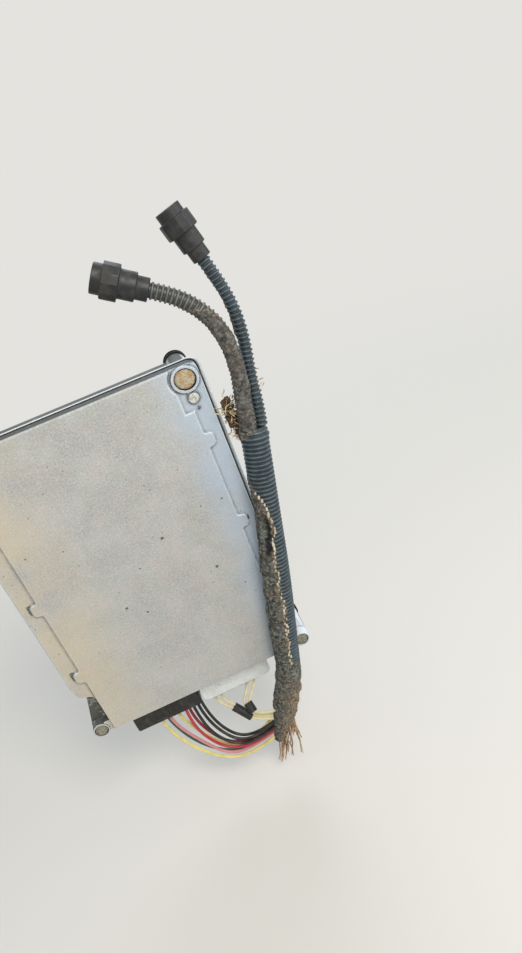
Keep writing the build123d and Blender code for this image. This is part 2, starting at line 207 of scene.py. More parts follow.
class Nodes:
    """A shader's node tree while it is laid out. Its masks are sockets from 0 to 1."""

    def __init__(self, owner: bpy.types.Material | bpy.types.World) -> None:
        """Takes up the tree of a new material or world and empties it."""
        owner.use_nodes = True
        self.tree = owner.node_tree
        self.tree.nodes.clear()

    @cached_property
    def where(self) -> Socket:
        """Object coordinates."""
        return self.add("ShaderNodeTexCoord").outputs["Object"]

    @property
    def normal(self) -> Socket:
        """The way that the surface looks."""
        return self.add("ShaderNodeNewGeometry").outputs["Normal"]

    def add(
        self, kind: str, inputs: Mapping[str | int, Any] | None = None, **settings: Any
    ) -> bpy.types.Node:
        """Adds a shader node with its settings and links.

        Args:
            kind: the node's type name.
            inputs: socket name or index to a value, a hex colour, or the socket that feeds it.
            settings: the node's own properties.

        Returns:
            The new node.
        """
        node = self.tree.nodes.new(kind)
        for name, value in settings.items():
            setattr(node, name, value)
        for name, value in (inputs or {}).items():
            if isinstance(value, Socket):
                self.tree.links.new(value, node.inputs[name])
            else:
                node.inputs[name].default_value = linear(value) if isinstance(value, str) else value
        return node

    def place(self, axis: str) -> Socket:
        """One of the Object coordinates."""
        return self.add("ShaderNodeSeparateXYZ", {"Vector": self.where}).outputs[axis]

    def mask(self, value: Socket, none: float, full: float, eased: bool = False) -> Socket:
        """Makes a mask of a value.

        Args:
            value: what is read.
            none: the value at which the mask is 0.
            full: the value at which it is 1.
            eased: whether it starts and ends gently.

        Returns:
            The mask.
        """
        return self.add(
            "ShaderNodeMapRange",
            {"Value": value, "From Min": none, "From Max": full},
            interpolation_type="SMOOTHSTEP" if eased else "LINEAR",
        ).outputs["Result"]

    def level(self, mask: Socket, none: float, full: float) -> Socket:
        """A level that goes from one number to another as its mask grows."""
        return self.add(
            "ShaderNodeMapRange", {"Value": mask, "To Min": none, "To Max": full}
        ).outputs["Result"]

    def cloud(self, size: float, none: float, full: float, detail: float = 3.0) -> Socket:
        """A cloudy mask whose features have a real size.

        Args:
            size: feature size in millimetres.
            none: noise level that becomes 0.
            full: noise level that becomes 1.
            detail: octaves of the noise.

        Returns:
            The mask.
        """
        fog = self.add(
            "ShaderNodeTexNoise", {"Vector": self.where, "Scale": per_mm(size), "Detail": detail}
        )
        return self.mask(fog.outputs["Fac"], none, full, eased=True)

    def hollows(self, reach: float, none: float, full: float) -> Socket:
        """A mask of the places that walls within a reach in millimetres shut off from the sky."""
        sky = self.add("ShaderNodeAmbientOcclusion", {"Distance": reach * MM}, samples=8)
        return self.mask(sky.outputs["AO"], none, full)

    def facing(self, way: Point | Socket, none: float, full: float) -> Socket:
        """A mask of the faces that look one way.

        Args:
            way: the way.
            none: share of the way at which the mask starts.
            full: share at which it is full.

        Returns:
            The mask.
        """
        share = self.add("ShaderNodeVectorMath", {0: self.normal, 1: way}, operation="DOT_PRODUCT")
        return self.mask(share.outputs["Value"], none, full)

    def overlap(self, *masks: float | Socket) -> Socket:
        """The mask in which all of several masks and shares are multiplied."""
        product = masks[0]
        for mask in masks[1:]:
            product = self.add(
                "ShaderNodeMath", {0: product, 1: mask}, operation="MULTIPLY"
            ).outputs["Value"]
        return product

    def coats(self, base: str | Socket, *coats: tuple[Any, str | Socket]) -> Socket:
        """Lays coats of colour over a base.

        Args:
            base: hex colour or socket.
            coats: for each coat its mask, or a tuple of masks and shares that overlap, and its
                hex colour or socket.

        Returns:
            The colour on top.
        """
        for mask, colour in coats:
            factor = self.overlap(*mask) if isinstance(mask, tuple) else mask
            base = self.add(
                "ShaderNodeMix", {MIX_FACTOR: factor, MIX_A: base, MIX_B: colour}, data_type="RGBA"
            ).outputs[MIX_RESULT]
        return base

    def relief(self, *layers: tuple[Socket, float, float]) -> Socket:
        """Stacks layers of bumps.

        Args:
            layers: height socket, strength and depth in millimetres of each layer.

        Returns:
            The normal.
        """
        inputs: dict[str, Any] = {}
        for height, strength, depth in layers:
            inputs |= {"Height": height, "Strength": strength, "Distance": depth * MM}
            inputs["Normal"] = self.add("ShaderNodeBump", inputs).outputs["Normal"]
        return inputs["Normal"]


# Finishes


@dataclass(frozen=True)
class Finish:
    """A surface finish, made once as a node material."""

    name: str
    ready: ClassVar[dict[str, bpy.types.Material]] = {}

    def material(self) -> bpy.types.Material:
        """The finish's material, made on first use."""
        if self.name not in self.ready:
            made = self.ready[self.name] = bpy.data.materials.new(self.name)
            nodes = Nodes(made)
            surface = nodes.add("ShaderNodeBsdfPrincipled", self.shade(nodes))
            nodes.add("ShaderNodeOutputMaterial", {"Surface": surface.outputs["BSDF"]})
        return self.ready[self.name]

    def shade(self, nodes: Nodes) -> dict[str, Any]:
        """Lays out the finish's nodes.

        Args:
            nodes: the material's empty tree.

        Returns:
            What feeds the Principled shader, by socket name.
        """
        raise NotImplementedError


@dataclass(frozen=True)
class CastAluminium(Finish):
    """Sand-textured aluminium casting, oxidised dull by weather.

    The oxide gives the eye a matt grey with a cement-like speckle. Field dust warms it towards the
    left. Towards the right it is painted paler and bluish as sky light, its edges are painted
    bright as rubbed wear with a painted highlight, and slopes that face the upper right carry a
    painted highlight. Grime with painted shade gathers where faces meet, and dark dirt with painted
    shade lies on the upper ledges. Depths and heights are in millimetres.
    """

    pale: str = "#C9C8C3"
    dull: str = "#A4A39F"
    blotched: str = "#A5A49E"
    chalky: str = "#DAD9D4"
    rosy: str = "#D3BDB2"
    mossy: str = "#AFBBB0"
    dusty: str = "#D6C5A6"
    # Bluish tint towards the right: painted sky light
    sky_tint: str = "#BFD1E4"
    # Bluish white of rubbed edges, also laid as painted highlight on edges and on slopes that face
    # the light
    worn: str = "#E9F1F8"
    speck: str = "#6B6458"
    pit: str = "#5A4F42"
    # Grime and painted shade where faces meet
    grime_and_shade: str = "#34302A"
    # Dark dirt and painted shade on the upper ledges
    silt_and_shade: str = "#252B29"
    # Black dirt and painted shade on the lower left web
    black_dirt_and_shade: str = "#33372F"
    dust: float = 0.5
    # Strength and reach in millimetres of the grime and painted shade where faces meet
    grime_and_shade_level: float = 0.75
    corner: float = 2.5
    mottle: float = 0.35
    # Strength of the painted sky light: the bluish tint on the right and the highlight on slopes
    painted_sky_light: float = 0.68
    # Strength of the black dirt and painted shade on the lower left web
    web_dirt_and_shade: float = 0.0
    # Depths in millimetres where the upper ledges with dirt and painted shade start and end
    ledges: tuple[float, float] = (-47.0, -36.0)
    # Heights in millimetres at which the painted highlight on slopes is gone and at which it is
    # full
    rim: tuple[float, float] = (9.0, 7.0)
    edge_width: float = 1.3
    # Way towards the light; slopes that face it get a painted highlight
    highlight_way: Point = (0.75, -0.3, 0.6)
    # Axis, and the places where black dirt and painted shade on the lower left web start and are
    # full
    web: ClassVar = (
        ("X", -80, -86), ("Z", -224, -238), ("Z", -292, -284), ("Y", -47.6, -45.6), ("Y", -20, -28),
    )

    def side(self, nodes: Nodes, start: float, full: float, size: float) -> Socket:
        """A cloudy mask that grows towards one side of the case.

        Args:
            nodes: the material's tree.
            start: X in millimetres where it starts.
            full: X in millimetres where it is full.
            size: feature size of its clouds in millimetres.

        Returns:
            The mask.
        """
        slope = nodes.mask(nodes.place("X"), start * MM, full * MM, eased=True)
        return nodes.overlap(slope, nodes.cloud(size, 0.17, 0.6, 6.0))

    def specks(self, nodes: Nodes, cell: float, size: float) -> Socket:
        """A mask of sparse dark specks.

        Args:
            nodes: the material's tree.
            cell: distance between places for a speck, in millimetres.
            size: radius of a speck in millimetres.

        Returns:
            The mask.
        """
        cells = nodes.add(
            "ShaderNodeTexVoronoi", {"Vector": nodes.where, "Scale": per_mm(cell)}
        ).outputs["Distance"]
        dots = nodes.mask(cells, size / cell, 0.55 * size / cell)
        return nodes.overlap(dots, nodes.cloud(2.2 * cell, 0.42, 0.52))

    def left_web(self, nodes: Nodes) -> Socket:
        """A mask of the lower left web above the lug, painted dark: stuck black dirt and painted
        shade.
        """
        slopes = [
            nodes.mask(nodes.place(axis), none * MM, full * MM) for axis, none, full in self.web
        ]
        return nodes.overlap(*slopes, nodes.cloud(5, 0.2, 0.45))

    def edges(self, nodes: Nodes) -> Socket:
        """A mask of the casting's edges, painted bright: rubbed wear with a painted highlight."""
        rounded = nodes.add("ShaderNodeBevel", {"Radius": self.edge_width * MM}, samples=4)
        return nodes.facing(rounded.outputs["Normal"], 0.995, 0.93)

    def ledge(self, nodes: Nodes) -> Socket:
        """A mask of the upper ledges behind the front edge, painted dark: settled dirt and painted
        shade.
        """
        start, end = self.ledges
        behind = nodes.mask(nodes.place("Y"), (start - 0.4) * MM, (start + 0.6) * MM)
        before = nodes.mask(nodes.place("Y"), (end + 6) * MM, end * MM)
        upper = nodes.facing((0, 0, 1), 0.6, 0.85)
        return nodes.overlap(upper, behind, before, nodes.cloud(9, 0.0, 0.42, 6.0))

    def shade(self, nodes: Nodes) -> dict[str, Any]:
        """Lays speckle, tints, dust, painted sky light, edge wear with painted highlight, specks,
        grime with painted shade, painted highlight on slopes and silt with painted shade.
        """
        speckle = nodes.cloud(1.5, 0.27, 0.73, 4.0)
        wear_and_highlight_breakup = nodes.cloud(5, 0.15, 0.55)
        pits = self.specks(nodes, 9.0, 0.7)
        below_rim = nodes.mask(nodes.place("Z"), *(height * MM for height in self.rim))
        # Slopes that face the upper right, for a painted highlight
        slopes = nodes.facing(self.highlight_way, 0.4, 0.7)
        colour = nodes.coats(
            self.dull,
            (speckle, self.pale),
            ((nodes.cloud(6.0, 0.32, 0.68, 6.0), self.mottle), self.blotched),
            ((nodes.cloud(30, 0.35, 0.65, 4.0), 0.22), self.chalky),
            ((nodes.cloud(11, 0.4, 0.75, 6.0), 0.2), self.rosy),
            ((nodes.cloud(17, 0.4, 0.75, 6.0), 0.22), self.mossy),
            ((self.side(nodes, -25, -95, 34), self.dust), self.dusty),
            # Painted sky light: paler and bluish towards the right
            ((self.side(nodes, 55, 92, 40), self.painted_sky_light), self.sky_tint),
            # Edges painted bright: rubbed wear with a painted highlight
            ((self.edges(nodes), wear_and_highlight_breakup, 0.9), self.worn),
            ((self.specks(nodes, 3.0, 0.4), 0.6), self.speck),
            ((pits, 0.75), self.pit),
            # Grime and painted shade in corners, creases and at steps, by ambient occlusion
            (
                (nodes.hollows(self.corner, 0.95, 0.72), nodes.cloud(4, 0.1, 0.5), self.grime_and_shade_level),
                self.grime_and_shade,
            ),
            # Painted highlight on slopes that face the upper right
            ((slopes, below_rim, wear_and_highlight_breakup, self.painted_sky_light), self.worn),
            # Dark dirt and painted shade on the upper ledges behind the front edge
            ((self.ledge(nodes), 0.9), self.silt_and_shade),
        )
        # Black dirt and painted shade on the lower left web
        if self.web_dirt_and_shade:
            colour = nodes.coats(colour, ((self.left_web(nodes), self.web_dirt_and_shade), self.black_dirt_and_shade))
        sand = nodes.add(
            "ShaderNodeTexNoise", {"Vector": nodes.where, "Scale": per_mm(0.9), "Detail": 4.0}
        )
        return {
            "Base Color": colour,
            "Metallic": 0.12,
            "Roughness": nodes.level(speckle, 0.75, 0.6),
            "Normal": nodes.relief((sand.outputs["Fac"], 0.45, 0.2), (pits, 0.6, 0.2)),
        }


@dataclass(frozen=True)
class SealRubber(Finish):
    """EPDM seal cord: dull black rubber, greyed by dust that clings to it."""

    black: str = "#121313"
    dusty: str = "#4E463C"

    def shade(self, nodes: Nodes) -> dict[str, Any]:
        """Lays the dusting."""
        return {
            "Base Color": nodes.coats(self.black, ((nodes.cloud(6, 0.45, 0.75), 0.35), self.dusty)),
            "Roughness": 0.85,
            "Normal": nodes.relief((nodes.cloud(1.2, 0.3, 0.7), 0.3, 0.2)),
        }


@dataclass(frozen=True)
class PlatedSteel(Finish):
    """Zinc-plated steel: a soft bright grey with rust creeping from the edges and dust on top."""

    plate: str = "#B4B4AC"
    rust: str = "#7A4A2A"
    dusty: str = "#B2935F"
    settled: str = "#8E7448"
    rusting: float = 0.5
    dusting: float = 0.3

    def shade(self, nodes: Nodes) -> dict[str, Any]:
        """Lays plate, rust and dust."""
        rust = nodes.cloud(2.6, 0.5, 0.62)
        dust = nodes.cloud(3.4, 0.62 - self.dusting * 0.5, 0.7 - self.dusting * 0.4)
        powder = nodes.coats(self.settled, (nodes.cloud(0.8, 0.35, 0.65), self.dusty))
        return {
            "Base Color": nodes.coats(
                self.plate,
                ((rust, self.rusting), self.rust),
                ((dust, min(1.0, self.dusting * 1.3)), powder),
            ),
            "Metallic": 0.55 * (1 - self.dusting),
            "Roughness": 0.45 + 0.4 * self.dusting,
            "Normal": nodes.relief((dust, 0.5, 0.3), (rust, 0.3, 0.1)),
        }


@dataclass(frozen=True)
class MouldedPlastic(Finish):
    """Black glass-filled nylon, moulded: a satin near-black with dust settled in its hollows."""

    black: str = "#191918"
    dusty: str = "#57524A"
    dusting: float = 0.5
    gloss: float = 0.45

    def shade(self, nodes: Nodes) -> dict[str, Any]:
        """Lays the spark texture and the dust."""
        dust = nodes.cloud(9, 0.62 - 0.3 * self.dusting, 0.8 - 0.2 * self.dusting, 6.0)
        shut = nodes.overlap(nodes.hollows(4, 0.9, 0.4), 0.7)
        either = nodes.add("ShaderNodeMath", {0: dust, 1: shut}, operation="MAXIMUM")
        cover = either.outputs["Value"]
        return {
            "Base Color": nodes.coats(self.black, ((cover, self.dusting), self.dusty)),
            "Roughness": nodes.level(cover, self.gloss, 0.9),
            "Normal": nodes.relief((nodes.cloud(1.0, 0.3, 0.7), 0.25, 0.12)),
        }


@dataclass(frozen=True)
class ConduitPlastic(Finish):
    """Polypropylene split conduit: blue-black, scuffed pale on its ribs.

    The piece's "groove" attribute darkens what lies between the ribs as painted shade, "dirt" says
    where a crust of grey mud covers them, "straw" where plant fibre is baked into that crust and
    "gap" where the slit gapes, painted near black as shade.
    """

    black: str = "#262F35"
    worn: str = "#576972"
    shadow: str = "#222B30"
    powder: str = "#6A665A"
    film: float = 0.15
    mud: str = "#2A2824"
    mud_grey: str = "#697069"
    mud_brown: str = "#54493C"
    mud_pale: str = "#A29A8D"
    fibre: str = "#B09A7E"
    # Near black of the gaping slit: painted shade inside the conduit
    inside: str = "#0C0E0F"

    def shade(self, nodes: Nodes) -> dict[str, Any]:
        """Lays scuffed crests, dark grooves and the mud crust."""
        dirt, groove, straw, gap = (
            nodes.add("ShaderNodeAttribute", attribute_name=name).outputs["Fac"]
            for name in LOOM_MARKS
        )
        clean = nodes.coats(
            self.black,
            (nodes.level(nodes.cloud(6, 0.35, 0.7, 6.0), 0.3, 0.9), self.worn),
            ((nodes.cloud(9, 0.3, 0.7, 5.0), self.film), self.powder),
            # Painted shade between the ribs
            ((groove, 0.8), self.shadow),
        )
        lumps = nodes.cloud(4.5, 0.36, 0.64)
        threads = nodes.cloud(1.3, 0.4, 0.65, 2.0)
        crust = nodes.coats(
            self.mud,
            (lumps, self.mud_grey),
            ((nodes.cloud(8, 0.45, 0.6), 0.6), self.mud_brown),
            ((nodes.cloud(2.2, 0.5, 0.66), 0.6), self.mud_pale),
            ((straw, 0.85), nodes.coats(self.mud_brown, (threads, self.fibre))),
            # Painted shade in the gaping slit
            ((gap, 0.95), self.inside),
        )
        ragged = nodes.overlap(nodes.cloud(2.2, 0.3, 0.7, 4.0), 0.5)
        depth = nodes.add("ShaderNodeMath", {0: dirt, 1: ragged}, operation="ADD")
        covered = nodes.mask(depth.outputs["Value"], 0.45, 0.85)
        return {
            "Base Color": nodes.coats(clean, (covered, crust)),
            "Roughness": nodes.level(covered, 0.42, 0.95),
            "Normal": nodes.relief(
                (nodes.overlap(lumps, covered), 0.8, 0.9),
                (nodes.overlap(threads, covered), 0.6, 0.35),
            ),
        }


@dataclass(frozen=True)
class WirePvc(Finish):
    """PVC wire insulation: smooth and slightly shiny in its own colour, with a film of dust."""

    colour: str
    dust: str = "#8A7A62"

    def shade(self, nodes: Nodes) -> dict[str, Any]:
        """Lays the film of dust."""
        film = nodes.cloud(8, 0.4, 0.75, 5.0)
        return {
            "Base Color": nodes.coats(self.colour, ((film, 0.25), self.dust)),
            "Roughness": nodes.level(film, 0.32, 0.6),
            "Normal": nodes.relief((film, 0.15, 0.2)),
        }


@dataclass(frozen=True)
class DriedPlant(Finish):
    """Chaff and dry stems: straw fibre, bleached on some pieces and brown on others."""

    pale: str
    brown: str = "#7A5532"
    bleached: str = "#E0CFA6"
    patch: float = 9.0

    def shade(self, nodes: Nodes) -> dict[str, Any]:
        """Lays the change of tone from piece to piece."""
        fine = nodes.cloud(0.9, 0.3, 0.7)
        tone = nodes.cloud(self.patch, 0.4, 0.6)
        return {
            "Base Color": nodes.coats(self.pale, (tone, self.brown), ((fine, 0.35), self.bleached)),
            "Roughness": 0.8,
            "Normal": nodes.relief((fine, 0.3, 0.15)),
        }


@dataclass(frozen=True)
class DriedMud(Finish):
    """Dried mud and dust crust: crumbly, dull, with paler crumbs, and rust crept into some."""

    dark: str
    pale: str
    stain: str = "#6E4B2C"
    stained: float = 0.0
    crumb: float = 1.6

    def shade(self, nodes: Nodes) -> dict[str, Any]:
        """Lays the crumbs and the rust."""
        crumbs = nodes.cloud(self.crumb, 0.3, 0.7, 5.0)
        rust = nodes.cloud(5, 0.44, 0.6, 4.0)
        return {
            "Base Color": nodes.coats(
                self.dark, (crumbs, self.pale), ((rust, self.stained), self.stain)
            ),
            "Roughness": 0.95,
            "Normal": nodes.relief((crumbs, 0.7, 0.5)),
        }


CAST = CastAluminium("weathered_casting", dust=0.62, grime_and_shade_level=0.95, corner=3.0)
# The rear casting is painted far paler than the cover, a lit copy of the cast finish; it also
# carries painted shade on its ledges and lower left web
CAST_REAR = CastAluminium(
    "lit_and_shaded_casting", pale="#F4F7F5", dull="#DFE3E1", dust=0.3, grime_and_shade_level=0.8, corner=1.5, mottle=0.1,
    painted_sky_light=0.35, ledges=(-33.3, -8.0), web_dirt_and_shade=0.9,
)
SEAL = SealRubber("epdm_rubber")
FOOT = SealRubber("mount_rubber")
SCREW = PlatedSteel("zinc_plated_steel", plate="#DADCD6", rusting=0.4, dusting=0.15)
BOLT = PlatedSteel(
    "dusty_plated_steel", plate="#9C978A", rust="#5E4B3A", dusty="#9C8E74", settled="#7A6E59",
    rusting=0.7, dusting=0.75,
)
NYLON = MouldedPlastic("glass_filled_nylon", dusting=0.6)
SLEEVE = MouldedPlastic("shrink_sleeve", black="#1C1D1F", dusting=0.4, gloss=0.5)
COUPLING = MouldedPlastic("coupling_nylon", black="#1C1E20")
CONDUIT = ConduitPlastic("split_conduit")
DUSTY_CONDUIT = ConduitPlastic(
    "dusty_conduit", black="#2F3233", worn="#74756F", powder="#7E7666", film=0.6,
    mud="#393733", mud_grey="#646560", mud_brown="#5C5047", mud_pale="#8A8278",
)
CHAFF = DriedPlant("chaff", pale="#D2BE92")
STEM = DriedPlant("dry_stem", pale="#B08A5C", brown="#7C4E30", patch=14.0)
HUSK = DriedPlant("straw_fibre", pale="#D8CDB8", brown="#A8947A", patch=12.0)
MUD = DriedMud("dried_mud", dark="#2C241C", pale="#6E573C")
FIELD_DUST = DriedMud(
    "field_dust", dark="#AE9A74", pale="#D3CAB2", crumb=1.0, stain="#B07C40", stained=0.55
)
GREY_DUST = DriedMud("grey_dust", dark="#6C685A", pale="#A19D8C")
SPLASH = DriedMud("mud_splash", dark="#5D4A38", pale="#8A745A")
# Dark grey of the lumps in the panel's notches: dirt and painted shade
GREY_DIRT_AND_SHADE = DriedMud("grey_dirt_and_shade", dark="#4C5652", pale="#7D8684")


class Insulation(Enum):
    """Wire colours, each with its finish and the record's slot."""

    YELLOW = (WirePvc("pvc_yellow", "#EBDD86"), "yellow_pvc")
    PINK = (WirePvc("pvc_pink", "#D98E92"), "pink_pvc")
    GREEN = (WirePvc("pvc_green", "#2C6A57"), "green_pvc")
    RED = (WirePvc("pvc_red", "#C32F44"), "red_pvc")
    CRIMSON = (WirePvc("pvc_crimson", "#96233A"), "crimson_pvc")
    BLACK = (WirePvc("pvc_black", "#1B1A1C"), "black_pvc")
    CREAM = (WirePvc("pvc_cream", "#EBDFB4"), "cream_pvc")


def hand_over(
    piece: bpy.types.Object, finish: Finish, replaced: Sequence[str] = ()
) -> bpy.types.Object:
    """Dresses a finished piece, lets it ride on the case and reports it.

    Args:
        piece: the finished piece, at the origin.
        finish: its surface.
        replaced: the CAD nodes that it stands for.

    Returns:
        The same piece.
    """
    piece.data.materials.clear()
    piece.data.materials.append(finish.material())
    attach(piece, BODY)
    if replaced:
        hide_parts(*replaced)
    log.info("%s: %s", piece.name, finish.name)
    return piece


# The cast case


@dataclass
class Case:
    """Cover, seal and rear tub of the case, and what fastens them. Angles are in degrees."""

    cover_bevel: float = 0.4 * MM
    rear_bevel: float = 0.5 * MM
    fixing_bevel: float = 0.3 * MM
    seal_squeeze: tuple[float, float] = (2.6 * MM, 1.5 * MM)
    seal_corner: float = 8 * MM
    merge: float = 0.002 * MM
    flat: float = 1.0
    sharp: float = 28.0
    crease: float = 50.0
    # Across and up: a point of each plane that parts the rear's largest faces, and its normal
    partings: Sequence[tuple[float, float, float, float]] = (
        (0, -0.232, 0, 1), (0, 0, 1, 0), (0.08, 0, 1, 0), (-0.08, 0, 1, 0),
    )

    def eased_copy(
        self, node: str, bevel: float, reshape: Callable[[bpy.types.Object], None] | None = None
    ) -> bpy.types.Object:
        """Copies a CAD node and rounds its edges as a casting or pressing has them.

        Args:
            node: the CAD node.
            bevel: width of the rounding in metres.
            reshape: what is done to the copy before its edges are rounded.

        Returns:
            The rounded copy.
        """
        piece = own_copy(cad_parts[node])
        with editing(piece):
            bpy.ops.mesh.remove_doubles(threshold=self.merge)
            bpy.ops.mesh.dissolve_limited(angle_limit=math.radians(self.flat))
        if reshape:
            reshape(piece)
        apply_modifier(
            piece, "BEVEL", width=bevel, segments=2, limit_method="ANGLE",
            angle_limit=math.radians(self.sharp), use_clamp_overlap=False,
        )
        settle(piece, f"{node}_look", self.crease)
        apply_modifier(piece, "WEIGHTED_NORMAL", keep_sharp=True)
        return piece

    def part_faces(self, piece: bpy.types.Object) -> None:
        """Parts the largest faces, which are too ragged to be filled in one."""
        with editing(piece):
            for across, up, way_across, way_up in self.partings:
                bpy.ops.mesh.select_all(action="SELECT")
                bpy.ops.mesh.bisect(plane_co=(across, 0, up), plane_no=(way_across, 0, way_up))

    def squeeze_out(self, seal: bpy.types.Object) -> None:
        """Lets the seal stand out a little between cover and flange, round at its top corners."""
        places = [vertex.co for vertex in seal.data.vertices]
        low, high = (Vector([pick(p[i] for p in places) for i in range(3)]) for pick in (min, max))
        half = (high - low) / 2
        wide, tall = self.seal_squeeze
        with editing(seal):
            bpy.ops.transform.resize(
                value=(1 + wide / half.x, 1, 1 + tall / half.z), center_override=(low + high) / 2
            )
        block = cube(2)
        with editing(block):
            bpy.ops.transform.resize(value=(half.x + wide, half.x, half.x + half.z))
            bpy.ops.transform.translate(value=(0, low.y, high.z + tall - half.x - half.z))
            bpy.ops.mesh.select_all(action="DESELECT")
            mesh = bmesh.from_edit_mesh(block.data)
            for edge in mesh.edges:
                first, last = (vertex.co for vertex in edge.verts)
                edge.select_set(abs(first.y - last.y) > half.x)
            bmesh.update_edit_mesh(block.data)
            bpy.ops.mesh.bevel(offset=self.seal_corner, segments=8, affect="EDGES")
        apply_modifier(seal, "BOOLEAN", operation="INTERSECT", solver="EXACT", object=block)
        bpy.data.objects.remove(block)

    def dress(self, *rows: tuple[str, float, Finish, str]) -> None:
        """Rounds and dresses CAD nodes, each given with its bevel, finish and slot."""
        for node, bevel, finish, slot in rows:
            reshape = {"case_rear": self.part_faces, "case_seal": self.squeeze_out}.get(node)
            hand_over(self.eased_copy(node, bevel, reshape), finish, [node])

    def build(self) -> None:
        """Builds all pieces of the case."""
        self.dress(
            ("case_cover", self.cover_bevel, CAST, "cast_aluminium"),
            ("case_rear", self.rear_bevel, CAST_REAR, "cast_aluminium"),
            ("case_seal", self.fixing_bevel, SEAL, "seal_rubber"),
            ("cover_screws", self.fixing_bevel, SCREW, "zinc_steel"),
            ("washers", self.fixing_bevel, BOLT, "dusty_steel"),
            ("mount_bolts", self.fixing_bevel, BOLT, "dusty_steel"),
            ("feet", self.fixing_bevel, FOOT, "foot_rubber"),
        )


@dataclass
class Connectors:
    """Shrouds and plugs under the bottom wall, couplings above, and sleeves on paired wires."""

    bevel: float = 0.6 * MM
    sleeve_bevel: float = 0.3 * MM

    def build(self, case: Case) -> None:
        """Builds the shrouds and plugs, then the couplings and sleeves."""
        for side in ("left", "right"):
            for kind in ("header", "plug"):
                case.dress((f"{kind}_{side}", self.bevel, NYLON, "black_nylon"))
        for branch in ("taped", "ribbed"):
            case.dress((f"coupling_{branch}", self.bevel, COUPLING, "coupling_plastic"))
        for side in ("left", "right"):
            case.dress((f"sleeve_{side}", self.sleeve_bevel, SLEEVE, "black_pvc"))


# The loom


def route_curve(name: str, points: Sequence[Point], steps: int = 16) -> bpy.types.Object:
    """One open NURBS spline with the route's points as its control points.

    Args:
        name: the curve's name.
        points: the route, in metres.
        steps: points drawn for each span.

    Returns:
        The curve object, with no bevel.
    """
    curve = bpy.data.curves.new(name, "CURVE")
    curve.dimensions = "3D"
    spline = curve.splines.new("NURBS")
    spline.points.add(len(points) - 1)
    for place, point in zip(spline.points, points):
        place.co = (*point, 1.0)
    spline.order_u = 3
    spline.use_endpoint_u = True
    curve.resolution_u = steps
    return link(name, curve)


def read_line(route: bpy.types.Object) -> list[Vector]:
    """Points along a route's NURBS spline, in order; the route's curve is then taken away."""
    mesh = bpy.data.meshes.new_from_object(route)
    line = [vertex.co.copy() for vertex in mesh.vertices]
    bpy.data.meshes.remove(mesh)
    bpy.data.objects.remove(route)
    return line


class Line:
    """A smooth line with a frame that goes along it without twisting."""

    def __init__(self, points: Sequence[Vector], front: Vector = Vector((0, -1, 0))) -> None:
        """Measures the line.

        Args:
            points: points along it.
            front: where angle 0 points at its start.
        """
        self.points = list(points)
        self.lengths = [0.0]
        for before, after in zip(points, points[1:]):
            self.lengths.append(self.lengths[-1] + (after - before).length)
        last = len(points) - 1
        self.ways = [
            (points[min(i + 1, last)] - points[max(i - 1, 0)]).normalized() for i in range(last + 1)
        ]
        self.fronts = [(front - self.ways[0] * front.dot(self.ways[0])).normalized()]
        for before, after in zip(self.ways, self.ways[1:]):
            self.fronts.append((before.rotation_difference(after) @ self.fronts[-1]).normalized())

    @property
    def length(self) -> float:
        """The line's length in metres."""
        return self.lengths[-1]

    def at(self, distance: float) -> tuple[Vector, Vector, Vector, Vector]:
        """The frame at a distance along the line.

        Args:
            distance: metres from the start, which may lie a little outside the line.

        Returns:
            Place, forward way, front way and side way.
        """
        i = 0
        while i < len(self.lengths) - 2 and self.lengths[i + 1] < distance:
            i += 1
        span = self.lengths[i + 1] - self.lengths[i]
        share = (distance - self.lengths[i]) / span
        place = self.points[i].lerp(self.points[i + 1], share)
        held = min(1.0, max(0.0, share))
        way = self.ways[i].lerp(self.ways[i + 1], held).normalized()
        front = self.fronts[i].lerp(self.fronts[i + 1], held)
        front = (front - way * front.dot(way)).normalized()
        return place, way, front, way.cross(front)


def smooth(value: float, low: float, high: float) -> float:
    """Smoothstep of a value between two levels, from 0 at the first to 1 at the second."""
    share = min(1.0, max(0.0, (value - low) / (high - low)))
    return share * share * (3 - 2 * share)


def ripple(spot: Vector, waves: Table) -> float:
    """Sum of noises at a place, each given by its height and its waves per metre."""
    return sum(height * noise.noise(spot * count) for height, count in waves)


def between(value: float, table: Table) -> float:
    """Reads a value off a short table of places and levels, in straight steps.

    Args:
        value: the place.
        table: places in rising order with their levels.

    Returns:
        The level there.
    """
    for (before, low), (after, high) in zip(table, table[1:]):
        if value <= after:
            return low + (high - low) * min(1.0, max(0.0, (value - before) / (after - before)))
    return table[-1][1]


